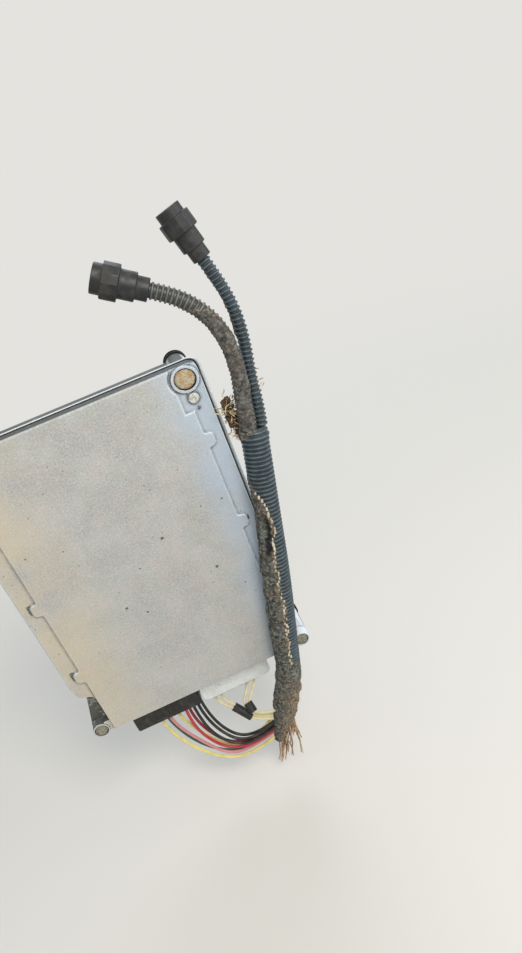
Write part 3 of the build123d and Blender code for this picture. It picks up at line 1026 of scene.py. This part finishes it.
@dataclass
class Conduit:
    """Split corrugated conduit along a line, its ribs partly buried in a crust of mud.

    The mud's border is an angle round the conduit, 0 at the front and rising to the right, given
    for shares of the length: what lies to the left of it is covered. Girth, lumpiness and the
    millimetres of cake on the left side are given for shares of the length too. Up to the straw
    share, plant fibre is baked into the right side of the crust. Between the slit's two shares the
    crust is open left of its border.
    """

    name: str
    line: Line
    outer: float
    mud_border: Table
    pitch: float = 3.6 * MM
    rib: float = 1.5 * MM
    wall: float = 1.2 * MM
    sides: int = 56
    mud_lump: float = 1.1 * MM
    recess: float = 5 * MM
    girth: Table = ((0, 1.0), (1, 1.0))
    lumpiness: Table = ((0, 1.0), (1, 1.0))
    left_cake: Table = ((0, 0.0), (1, 0.0))
    straw_share: float = 0.0
    burial: float = 0.92
    slit: tuple[float, float] | None = None
    section: Callable[[float], tuple[float, float]] = lambda share: (1.0, 1.0)

    # Heights up one rib, as shares of the pitch, and how far its radius has risen to the crest
    profile: ClassVar[Table] = (
        (0.1, 0.0), (0.25, 0.8), (0.33, 1.0), (0.5, 1.0), (0.58, 0.8), (0.73, 0.0), (1.0, 0.0),
    )
    # Degrees that the mud's border strays and share of the depth that its lumps stand up,
    # each with its waves per metre
    border_waves: ClassVar[Table] = ((14, 70), (12, 240))
    lump_waves: ClassVar[Table] = ((1.1, 130), (0.4, 380))
    lump_level: ClassVar[float] = 0.3
    slit_depth: ClassVar[float] = 2.2 * MM
    snap: ClassVar[float] = 0.01 * MM

    def straight(self) -> bpy.types.Object:
        """The conduit as it comes off its reel, straight up from the origin."""
        ribs = max(1, round(self.line.length / self.pitch))
        step = self.line.length / ribs
        groove = self.outer / 2 - self.rib
        tube = circle(self.sides, groove, filled=False)
        height, radius = 0.0, groove
        with editing(tube):
            for share, rise in self.profile:
                level, wanted = share * step, groove + self.rib * rise
                grown = wanted / radius
                draw_up((grown, grown, 1), (0, 0, level - height), about=(0, 0, level))
                height, radius = level, wanted
        apply_modifier(
            tube, "ARRAY", count=ribs, use_relative_offset=False, use_constant_offset=True,
            constant_offset_displace=(0, 0, step), use_merge_vertices=True,
            merge_threshold=self.snap,
        )
        self.close(tube, 0.0, self.recess)
        self.close(tube, self.line.length, -self.recess)
        return tube

    def close(self, tube: bpy.types.Object, height: float, depth: float) -> None:
        """Closes an end with a cut wall and a floor that lies inside.

        Args:
            tube: the straight conduit.
            height: the end's height.
            depth: how far up its floor lies.
        """
        inner = 1 - self.wall / (self.outer / 2 - self.rib)
        with editing(tube, chosen=False):
            bpy.ops.mesh.select_mode(type="VERT")
            mesh = bmesh.from_edit_mesh(tube.data)
            for vertex in mesh.verts:
                vertex.select_set(abs(vertex.co.z - height) < self.snap)
            mesh.select_flush(True)
            bmesh.update_edit_mesh(tube.data)
            draw_up((inner, inner, 1), about=(0, 0, height))
            draw_up(step=(0, 0, depth))
            bpy.ops.mesh.edge_face_add()

    def mud(self, share: float, angle: float, spot: Vector) -> tuple[float, float, float]:
        """How mud and straw cover a place, and how far the slit gapes there.

        Args:
            share: share of the length.
            angle: degrees round the conduit.
            spot: the place, for its noise.

        Returns:
            Depth of the mud, share of straw in it and depth of the gap, each from 0 to 1.
        """
        border = between(share, self.mud_border) + ripple(spot, self.border_waves)
        depth = smooth(border - angle, -9, 9)
        depth *= 0.6 + 0.4 * smooth(noise.noise(spot * 75 + Vector((5, 0, 0))), -0.25, 0.15)
        low = smooth(share, self.straw_share, self.straw_share - 0.1) * smooth(angle, -55, 15)
        fringe = smooth(abs(border - angle), 22, 6) * 0.7
        gap = 0.0
        if self.slit:
            first, last = self.slit
            gap = smooth(share, first, first + 0.02) * smooth(share, last, last - 0.04)
            gap *= smooth(abs(border - 26 - angle), 17, 7)
        return depth, max(low, fringe), gap

    def build(self) -> bpy.types.Object:
        """Lays the conduit on its line and cakes it."""
        tube = self.straight()
        mesh = tube.data
        for name in LOOM_MARKS:
            mesh.attributes.new(name, "FLOAT", "POINT")
        crest = self.outer / 2
        for i, vertex in enumerate(mesh.vertices):
            x, y, along = vertex.co
            radius = math.hypot(x, y)
            angle = math.atan2(y, x)
            share = along / self.line.length
            place, _, front, side = self.line.at(along)
            spot = place + (front * math.cos(angle) + side * math.sin(angle)) * crest
            depth, fibre, gap = self.mud(share, math.degrees(angle), spot)
            skin = radius > crest - self.rib - self.snap
            sunk = min(1.0, max(0.0, (crest - radius) / self.rib)) if skin else 1.0
            if skin:
                lumps = self.lump_level + ripple(spot, self.lump_waves)
                lumps *= self.mud_lump * between(share, self.lumpiness)
                lumps += between(share, self.left_cake) * MM * max(0.0, -math.sin(angle))
                filled = crest - 0.3 * MM + max(-0.5 * MM, lumps)
                radius += (filled - radius) * depth * self.burial - self.slit_depth * gap
            radius *= between(share, self.girth)
            wide_front, wide_side = self.section(share)
            vertex.co = (
                place
                + front * (radius * math.cos(angle) * wide_front)
                + side * (radius * math.sin(angle) * wide_side)
            )
            # sunk**0.6 becomes the painted shade between the ribs
            for name, level in zip(LOOM_MARKS, (depth, sunk**0.6, fibre, gap)):
                mesh.attributes[name].data[i].value = level
        mesh.update()
        return settle(tube, self.name, 50)


@dataclass
class Wire:
    """One wire from a plug into the conduit's lower end."""

    name: str
    insulation: Insulation
    route: Sequence[Point]
    diameter: float = 3.0 * MM
    sleeve: Sequence[str] = ()

    def build(self) -> bpy.types.Object:
        line = Line(read_line(route_curve(f"{self.name}_line", self.route)))
        piece = route_curve(f"{self.name}_look", self.route)
        piece.data.bevel_depth = self.diameter / 2
        piece.data.bevel_resolution = 5
        piece.data.use_fill_caps = True
        finish, slot = self.insulation.value
        hand_over(piece, finish, [self.name])
        return piece


@dataclass
class Loom:
    """Trunk, breakout, two branches with their couplings, and the wires that feed the trunk."""

    trunk_diameter: float = 22 * MM
    taped_diameter: float = 13 * MM
    ribbed_diameter: float = 10 * MM
    breakout_length: float = 12 * MM
    breakout_wide: float = 26.5 * MM
    breakout_deep: float = 23 * MM
    taped_offset: tuple[float, float] = (-4.5 * MM, 1.3 * MM)
    ribbed_offset: tuple[float, float] = (7.0 * MM, -1.2 * MM)
    branch_lead: float = 17 * MM
    trunk_route: Sequence[Point] = (
        (0.0425, -0.052, -0.379), (0.0735, -0.058, -0.317), (0.0865, -0.062, -0.252),
        (0.1005, -0.063, -0.186), (0.111, -0.063, -0.125), (0.1227, -0.059, -0.0644),
    )
    taped_tail: Sequence[Point] = (
        (0.1295, -0.058, -0.0065), (0.130, -0.0545, 0.0165), (0.126, -0.0505, 0.0335),
        (0.1175, -0.047, 0.0475), (0.1055, -0.0435, 0.0595), (0.0915, -0.041, 0.0685),
    )
    ribbed_tail: Sequence[Point] = (
        (0.1375, -0.051, -0.0145), (0.142, -0.0485, 0.008), (0.1435, -0.0475, 0.0315),
        (0.1405, -0.046, 0.0545), (0.1345, -0.043, 0.0755),
    )
    wires: Sequence[Wire] = (
        Wire("wire_yellow", Insulation.YELLOW, (
            (-0.054, -0.025, -0.3128), (-0.053, -0.026, -0.331), (-0.038, -0.034, -0.361),
            (-0.010, -0.043, -0.388), (0.022, -0.050, -0.384), (0.046, -0.053, -0.371),
        )),
        Wire("wire_green", Insulation.GREEN, (
            (-0.049, -0.021, -0.3128), (-0.048, -0.021, -0.331), (-0.035, -0.026, -0.363),
            (-0.011, -0.033, -0.387), (0.017, -0.039, -0.386), (0.039, -0.044, -0.370),
            (0.053, -0.0485, -0.348),
        )),
        Wire("wire_pink", Insulation.PINK, (
            (-0.046, -0.024, -0.3128), (-0.045, -0.025, -0.329), (-0.031, -0.031, -0.356),
            (-0.009, -0.041, -0.384), (0.020, -0.046, -0.381), (0.045, -0.052, -0.367),
        )),
        Wire("wire_amber", Insulation.YELLOW, (
            (-0.038, -0.024, -0.3128), (-0.036, -0.024, -0.328), (-0.026, -0.028, -0.351),
            (-0.010, -0.035, -0.374), (0.013, -0.041, -0.379), (0.034, -0.044, -0.365),
            (0.052, -0.050, -0.346),
        )),
        Wire("wire_red", Insulation.RED, (
            (-0.028, -0.028, -0.3128), (-0.029, -0.029, -0.330), (-0.024, -0.034, -0.352),
            (-0.008, -0.041, -0.374), (0.020, -0.049, -0.376), (0.044, -0.053, -0.364),
        )),
        Wire("wire_crimson", Insulation.CRIMSON, (
            (-0.025, -0.023, -0.3128), (-0.026, -0.025, -0.329), (-0.019, -0.031, -0.351),
            (-0.004, -0.040, -0.369), (0.021, -0.048, -0.371), (0.044, -0.052, -0.360),
        )),
        Wire("wire_black_a", Insulation.BLACK, (
            (-0.020, -0.028, -0.3128), (-0.020, -0.031, -0.328), (-0.014, -0.038, -0.353),
            (0.003, -0.046, -0.370), (0.027, -0.053, -0.368), (0.046, -0.057, -0.356),
        )),
        Wire("wire_black_b", Insulation.BLACK, (
            (-0.016, -0.024, -0.3128), (-0.016, -0.028, -0.327), (-0.009, -0.035, -0.351),
            (0.006, -0.044, -0.368), (0.028, -0.051, -0.365), (0.047, -0.055, -0.353),
        )),
        Wire("wire_black_c", Insulation.BLACK, (
            (-0.012, -0.024, -0.3128), (-0.012, -0.026, -0.328), (-0.005, -0.033, -0.352),
            (0.009, -0.040, -0.368), (0.030, -0.047, -0.365), (0.047, -0.0515, -0.355),
        )),
        Wire("wire_cream_a", Insulation.CREAM, (
            (0.000, -0.025, -0.3128), (0.003, -0.028, -0.325), (0.016, -0.036, -0.336),
            (0.029, -0.045, -0.351), (0.0485, -0.0535, -0.3505),
        ), sleeve=("sleeve_left_look",)),
        Wire("wire_cream_b", Insulation.CREAM, (
            (0.006, -0.025, -0.3128), (0.009, -0.028, -0.325), (0.020, -0.037, -0.334),
            (0.032, -0.046, -0.348), (0.050, -0.054, -0.346),
        )),
        Wire("wire_cream_c", Insulation.CREAM, (
            (0.039, -0.025, -0.3128), (0.034, -0.029, -0.322), (0.024, -0.038, -0.331),
            (0.031, -0.047, -0.343), (0.0515, -0.055, -0.341),
        ), sleeve=("sleeve_right_look",)),
        Wire("wire_cream_d", Insulation.CREAM, (
            (0.046, -0.026, -0.3128), (0.040, -0.030, -0.324), (0.028, -0.041, -0.331),
            (0.035, -0.051, -0.341), (0.054, -0.058, -0.336),
        )),
    )

    trunk_border: Table = (
        (0, 200), (0.27, 200), (0.31, 60), (0.34, 5), (0.42, -2), (0.54, 3), (0.6, -9), (0.7, -10),
        (0.78, 8), (0.83, -8), (0.86, -28), (0.9, -70), (0.93, -130), (1, -130),
    )
    trunk_girth: Table = (
        (0, 0.45), (0.03, 0.6), (0.06, 0.78), (0.1, 0.95), (0.14, 1.05), (0.2, 1.05), (0.28, 1.0),
        (1, 1.0),
    )
    trunk_lumpiness: Table = ((0, 1.5), (0.2, 1.7), (0.3, 1.0), (1, 0.8))
    trunk_cake: Table = (
        (0, 0.0), (0.1, 0.5), (0.4, 2.2), (0.5, 3.2), (0.64, 3.4), (0.74, 0.8), (0.82, -1.5),
        (0.9, 0.0), (1, 0.0),
    )
    breakout_border: Table = ((0, -110), (0.4, -70), (1, 5))
    taped_border: Table = ((0, 60), (0.15, 130), (0.5, 120), (0.7, 20), (0.8, -80), (1, -200))
    ribbed_border: Table = ((0, -200), (0.35, -150), (0.55, -70), (1, -90))

    def breakout_section(self, share: float) -> tuple[float, float]:
        """How the breakout widens, and closes on the branches at its far end.

        Args:
            share: share of its length.

        Returns:
            Sizes from front to back and from side to side, as shares of the trunk's.
        """
        closed = 1 - 0.28 * max(0.0, (share - 0.3) / 0.7) ** 2
        deep, wide = (
            (1 + share * (size / self.trunk_diameter - 1)) * closed
            for size in (self.breakout_deep, self.breakout_wide)
        )
        return deep, wide

    def lines(self) -> dict[str, Line]:
        """The lines of the trunk, the breakout and both branches, by name."""
        trunk_end = Vector(self.trunk_route[-1])
        way = (trunk_end - Vector(self.trunk_route[-2])).normalized()
        fork = trunk_end + way * self.breakout_length
        side = Vector((way.z, 0, -way.x)).normalized()
        lift = side.cross(way)
        lines = {
            "trunk": Line(read_line(route_curve("trunk_line", self.trunk_route))),
            "breakout": Line([trunk_end, fork]),
        }
        for name, (across, up), tail in (
            ("taped", self.taped_offset, self.taped_tail),
            ("ribbed", self.ribbed_offset, self.ribbed_tail),
        ):
            start = fork + side * across + lift * up
            route = (tuple(start), tuple(start + way * self.branch_lead), *tail)
            lines[name] = Line(read_line(route_curve(f"{name}_line", route)))
        return lines

    def build(self) -> dict[str, Line]:
        """Builds and dresses the loom.

        Returns:
            The lines of its conduits by name.
        """
        lines = self.lines()
        trunk = Conduit(
            "loom_trunk_look", lines["trunk"], self.trunk_diameter, self.trunk_border,
            girth=self.trunk_girth, lumpiness=self.trunk_lumpiness, left_cake=self.trunk_cake,
            straw_share=0.3, slit=(0.69, 0.83),
        ).build()
        breakout = Conduit(
            "loom_breakout_look", lines["breakout"], self.trunk_diameter, self.breakout_border,
            section=self.breakout_section, recess=0.5 * MM,
        ).build()
        taped = Conduit(
            "loom_taped_look", lines["taped"], self.taped_diameter, self.taped_border,
            rib=1.1 * MM, sides=44, mud_lump=0.8 * MM, burial=0.7,
        ).build()
        ribbed = Conduit(
            "loom_ribbed_look", lines["ribbed"], self.ribbed_diameter, self.ribbed_border,
            rib=1.1 * MM, sides=36,
        ).build()
        for piece, finish, slot, node in (
            (trunk, CONDUIT, "loom_plastic", "loom_trunk"),
            (breakout, CONDUIT, "loom_tape", "loom_breakout"),
            (taped, DUSTY_CONDUIT, "loom_tape", "loom_taped"),
            (ribbed, CONDUIT, "loom_plastic", "loom_ribbed"),
        ):
            hand_over(piece, finish, [node])
        for wire in self.wires:
            wire.build()
        return lines


# What the fields left on it


def rounded_lump(name: str) -> bpy.types.Object:
    """A lump about one metre across, to be copied small."""
    lump = cube(0.9)
    with editing(lump):
        bpy.ops.mesh.subdivide(number_cuts=2, fractal=0.35, seed=3)
    apply_modifier(lump, "SUBSURF", levels=1)
    return settle(lump, name, 80)


def dry_stem(name: str) -> bpy.types.Object:
    """A slightly crooked stem one metre long and one thick, to be copied small."""
    stem = circle(7, 0.5)
    with editing(stem):
        for drift, lean, girth in (
            (1.1, 0.3, 0.94), (0.6, -0.5, 1.08), (-0.5, -0.9, 0.9), (-1.2, 0.4, 0.7),
        ):
            draw_up((girth, girth, 1), (drift, lean, 0.25))
    return settle(stem, name, 50)


def husk_flake(name: str) -> bpy.types.Object:
    """A boat-shaped flake one metre long, to be copied small."""
    flake = circle(10, 0.5)
    with editing(flake):
        bpy.ops.transform.resize(value=(0.4, 1, 1))
        draw_up(step=(0.05, 0, 0.08))
        draw_up((0.7, 0.7, 1))
        bpy.ops.transform.translate(value=(0, 0, -0.05))
    return settle(flake, name, 50)


def scatter(
    name: str, master: bpy.types.Object, places: Sequence[Matrix], finish: Finish
) -> bpy.types.Object:
    """Copies a small piece to many places and joins the copies.

    Args:
        name: the joined piece's name.
        master: the piece to copy, which stays as it is.
        places: place, turn and size of each copy.
        finish: the surface of all.

    Returns:
        The joined piece.
    """
    copies = [own_copy(master) for _ in places]
    for twin, place in zip(copies, places):
        twin.data.transform(place)
    take_up(copies[0])
    for twin in copies:
        twin.select_set(True)
    bpy.ops.object.join()
    return hand_over(settle(copies[0], name, 60), finish)


@dataclass
class FieldDirt:
    """Dust in the bolts' recesses, splashes on the cover, chaff and stems on the loom.

    Its places, sizes and depths are in millimetres.
    """

    seed: int = 11
    face: float = -48 * MM
    cake_rings: int = 7
    cake_waves: Table = ((0.12, 260),)
    splash_rise: float = 0.35
    notch_depth: float = 1.4
    notch_rise: float = 0.7
    # Across and up, radius, depth of the cake's rim and of its crown behind the panel's face
    cakes: Sequence[tuple[float, float, float, float, float]] = (
        (91, 0, 8.5, 3.0, -1.1), (-91, 0, 8.5, 3.0, -1.0),
        (100, -279, 6.1, 2.8, 0.6), (-100, -279, 6.1, 3.0, 0.7),
    )
    # Across and up, and size of each splash of mud on the cover
    splashes: Sequence[tuple[float, float, float]] = (
        (25, -117, 2.6), (-27, -166, 2.2), (56, -164, 2.4), (73, -191, 1.3), (64, -104, 1.2),
        (82, -105, 1.3), (-77, -85, 1.3), (-49, -92, 1.1), (-2, -135, 1.2), (-13, -178, 1.8),
        (93, -25, 2.4),
    )
    # Across and up, width and height of the dark lumps in the panel's notches: dirt and painted
    # shade
    pockets: Sequence[tuple[float, float, float, float]] = (
        (-95.2, -131, 4.2, 10.0), (-95.1, -210, 4.4, 10.5), (92.5, -129, 4.5, 2.2),
        (96, -132, 2.0, 4.5),
    )
    # Where earth and chaff hang between case and loom, chaff on the thin branch, and stems below
    clump: Sequence[Point] = (
        (113, -48, -29), (115, -49, -34), (113, -49, -40), (117, -50, -43), (115, -50, -48),
        (118, -52, -53), (116, -51, -57), (119, -52, -38), (120, -53, -48), (112, -48, -35),
        (112, -48, -46), (114, -49, -53),
    )
    ribbed_bits: Sequence[Point] = ((143, -48, -13), (144, -50, -22), (141, -47, -30))
    hanging: Sequence[Point] = (
        (64, -52, -338), (66, -50, -344), (60, -55, -350), (65, -53, -334), (54, -52, -360),
        (50, -52, -368), (47, -52, -376), (68, -54, -340),
    )
    stem_count: int = 30
    stem_foot: float = -409

    def cake(self, index: int) -> bpy.types.Object:
        """One cake of dust, domed over its bolt's head."""
        across, up, radius, rim, crown = self.cakes[index]
        cake = circle(40, radius * MM)
        with editing(cake):
            draw_up(step=(0, 0, MM))
            for left in range(self.cake_rings - 1, 0, -1):
                draw_up((left / (left + 1), left / (left + 1), 1))
        for vertex in cake.data.vertices:
            x, z, height = vertex.co
            share = math.hypot(x, z) / (radius * MM)
            dome = smooth(share, 1.0, 0.8) - 0.15 * share**2
            rough = ripple(Vector((x, z, 0.01 * index)), self.cake_waves)
            depth = rim + (crown - rim) * dome + rough if height > 0.5 * MM else rim + 1.5
            vertex.co = (across * MM + x, self.face + depth * MM, up * MM + z)
        finish = FIELD_DUST if up > -100 else GREY_DUST
        return hand_over(settle(cake, f"dust_cake_{index}", 60), finish)

    def dab(self, *numbers: float) -> Matrix:
        """Place of a dab on the cover: across, up and depth, then its width, rise and height."""
        across, up, depth, *size = (number * MM for number in numbers)
        return Matrix.LocRotScale((across, self.face + depth, up), None, size)

    def strewn(
        self, dice: random.Random, spots: Sequence[Point], count: int, spread: float,
        lengths: tuple[float, float], widths: tuple[float, float],
    ) -> list[Matrix]:
        """Places of small pieces round some spots.

        Args:
            dice: the seeded source of chance.
            spots: middles in millimetres.
            count: how many pieces.
            spread: how far they stray, in millimetres.
            lengths: shortest and longest, in millimetres.
            widths: thinnest and thickest, in millimetres.

        Returns:
            One matrix for each piece.
        """
        places = []
        for _ in range(count):
            middle = Vector(dice.choice(spots)) + Vector([dice.gauss(0, spread) for _ in range(3)])
            turn = Euler([dice.uniform(0, math.tau) for _ in range(3)])
            wide, long = dice.uniform(*widths), dice.uniform(*lengths)
            places.append(
                Matrix.LocRotScale(middle * MM, turn, (wide * MM, wide * MM, long * MM))
            )
        return places

    def beads(self, dice: random.Random, loom: Loom, line: Line) -> list[Matrix]:
        """Places of the frayed fibre beads along the mud's border on the trunk."""
        places = []
        along = 0.33 * line.length
        while along < 0.875 * line.length:
            along += dice.uniform(1.8, 4.6) * MM
            share = along / line.length
            angle = math.radians(between(share, loom.trunk_border) + dice.uniform(-8, 6))
            place, way, front, side = line.at(along)
            out = front * math.cos(angle) + side * math.sin(angle)
            spot = place + out * (loom.trunk_diameter / 2 + 0.1 * MM)
            axes = Matrix((out.cross(way), way, out)).transposed()
            size = dice.uniform(0.6, 1.25)
            grown = (1.7 * size * MM, 3.0 * size * MM, 1.3 * MM)
            places.append(Matrix.LocRotScale(spot, axes, grown))
        return places

    def build(self, loom: Loom, lines: Mapping[str, Line]) -> None:
        """Builds all of the dirt that is more than a stain."""
        dice = random.Random(self.seed)
        for index in range(len(self.cakes)):
            self.cake(index)
        lump, stem, flake = rounded_lump("lump"), dry_stem("stem"), husk_flake("flake")
        scatter("mud_splashes", lump, [
            self.dab(x, z, 0, size, self.splash_rise, size * dice.uniform(0.7, 1.1))
            for x, z, size in self.splashes
        ], SPLASH)
        # Dark lumps in the panel's notches: dirt and painted shade
        scatter("notch_dirt_and_shade", lump, [
            self.dab(x, z, self.notch_depth, wide, self.notch_rise, high)
            for x, z, wide, high in self.pockets
        ], GREY_DIRT_AND_SHADE)
        scatter("fibre_beads", lump, self.beads(dice, loom, lines["trunk"]), HUSK)
        earth = self.strewn(dice, self.clump, 60, 1.7, (3, 6), (2, 5))
        scatter("clump_earth", lump, earth, MUD)
        straw = self.strewn(dice, self.clump, 110, 2.2, (4, 10), (0.5, 1.2))
        straw += self.strewn(dice, self.ribbed_bits, 7, 1.2, (5, 9), (0.6, 1.2))
        scatter("chaff_stems", stem, straw, CHAFF)
        flakes = self.strewn(dice, self.clump, 50, 2.3, (2.5, 6), (2.5, 6))
        flakes += self.strewn(dice, self.ribbed_bits, 7, 1.4, (3, 5), (3, 5))
        scatter("chaff_flakes", flake, flakes, HUSK)
        strands = []
        for _ in range(self.stem_count):
            top = Vector(dice.choice(self.hanging)) + Vector([dice.gauss(0, 1.5) for _ in range(3)])
            way = Vector((dice.uniform(-0.42, -0.02), dice.uniform(-0.1, 0.1), -1)).normalized()
            length = min(dice.uniform(24, 72), (self.stem_foot - top.z) / way.z)
            wide = dice.uniform(0.8, 1.6)
            strands.append(Matrix.LocRotScale(
                top * MM, way.to_track_quat("Z", "Y"), (wide * MM, wide * MM, length * MM)
            ))
        scatter("hanging_stems", stem, strands, STEM)
        for master in (lump, stem, flake):
            bpy.data.objects.remove(master)


# Camera, light and floor


@dataclass
class Studio:
    """Plain pale floor, soft light from the upper right, camera at the photograph's angle."""

    image_size: tuple[int, int] = (522, 953)
    focal_px: float = 716.0
    sensor: float = 36.0
    camera_place: Point = (0.0695, -0.5515, 0.1840)
    camera_right: Point = (0.91375, -0.26339, -0.30933)
    camera_forward: Point = (0.08381, 0.86720, -0.49085)
    target: Point = (0.0, -0.05, -0.14)
    floor_drop: float = 0.04
    floor_radius: float = 8.0
    haze_reach: tuple[float, float] = (0.25, 1.4)
    pale: str = "#E4E3DF"
    floor_tone: str = "#E2DCD2"
    sky: str = "#DCE6F0"
    sky_level: float = 0.62

    def camera(self) -> None:
        """Makes the camera."""
        data = bpy.data.cameras.new("camera")
        data.sensor_width = self.sensor
        data.lens = self.focal_px / max(self.image_size) * self.sensor
        data.clip_start = 0.01
        eye = bpy.context.scene.camera = link("camera", data)
        right, forward = Vector(self.camera_right), Vector(self.camera_forward)
        axes = Matrix((right, right.cross(forward), -forward)).transposed()
        eye.matrix_world = Matrix.LocRotScale(self.camera_place, axes, None)

    def lamp(
        self, name: str, way: Point, distance: float, size: float, watts: float, hue: str
    ) -> None:
        """Adds one soft area lamp that points at the object.

        Args:
            name: the lamp's name.
            way: from the object towards the lamp.
            distance: metres between them.
            size: its side in metres.
            watts: its power.
            hue: its colour.
        """
        data = bpy.data.lights.new(name, "AREA")
        data.size = size
        data.energy = watts
        data.color = linear(hue)[:3]
        lamp = link(name, data)
        way = Vector(way).normalized()
        lamp.location = Vector(self.target) + way * distance
        lamp.rotation_mode = "QUATERNION"
        lamp.rotation_quaternion = way.to_track_quat("Z", "Y")

    @staticmethod
    def seen(nodes: Nodes) -> Socket:
        """A mask of what the eye sees, straight, in a reflection or through glass."""
        rays = nodes.add("ShaderNodeLightPath").outputs
        seen = rays["Is Camera Ray"]
        for kind in ("Is Glossy Ray", "Is Transmission Ray"):
            seen = nodes.add(
                "ShaderNodeMath", {0: seen, 1: rays[kind]}, operation="MAXIMUM"
            ).outputs["Value"]
        return seen

    def floor(self) -> None:
        """Lays the floor below the object; far off it takes the surround's tone."""
        floor = circle(96, self.floor_radius)
        floor.location.z = CAD_BOX[0][2] - self.floor_drop
        floor.name = "floor"
        paint = bpy.data.materials.new("floor_paint")
        nodes = Nodes(paint)
        reach = nodes.add("ShaderNodeVectorMath", {0: nodes.where}, operation="LENGTH")
        far = nodes.mask(reach.outputs["Value"], *self.haze_reach, eased=True)
        matt = nodes.add(
            "ShaderNodeBsdfPrincipled", {"Base Color": self.floor_tone, "Roughness": 0.9}
        )
        haze = nodes.add("ShaderNodeEmission", {"Color": self.pale, "Strength": 1.0})
        blend = nodes.add(
            "ShaderNodeMixShader",
            {
                0: nodes.overlap(far, self.seen(nodes)),
                1: matt.outputs["BSDF"],
                2: haze.outputs["Emission"],
            },
        )
        nodes.add("ShaderNodeOutputMaterial", {"Surface": blend.outputs["Shader"]})
        floor.data.materials.append(paint)

    def world(self) -> None:
        """Sets the pale surround, which lights the object as a bluish sky."""
        world = bpy.context.scene.world = bpy.data.worlds.new("surround")
        nodes = Nodes(world)
        seen = self.seen(nodes)
        backdrop = nodes.add("ShaderNodeBackground", {
            "Color": nodes.coats(self.sky, (seen, self.pale)),
            "Strength": nodes.level(seen, self.sky_level, 1.0),
        })
        nodes.add("ShaderNodeOutputWorld", {"Surface": backdrop.outputs["Background"]})

    def build(self) -> None:
        """Builds the whole studio."""
        bpy.context.scene.view_settings.view_transform = "Standard"
        self.camera()
        self.floor()
        self.world()
        for name, way, distance, size, watts, hue in (
            ("key", (0.28, -0.62, 0.72), 1.5, 0.6, 14, "#FFFAF2"),
            ("side", (1.0, -0.3, 0.35), 1.5, 0.7, 6, "#E6EFFA"),
            ("back", (0.2, 1.0, 0.7), 1.6, 1.0, 8, "#EAF1FA"),
        ):
            self.lamp(name, way, distance, size, watts, hue)


def main() -> None:
    """Builds the studio and the object."""
    logging.basicConfig(level=logging.INFO, format="%(message)s")
    Studio().build()
    case = Case()
    case.build()
    Connectors().build(case)
    loom = Loom()
    lines = loom.build()
    FieldDirt().build(loom, lines)


if __name__ == "__main__":
    main()
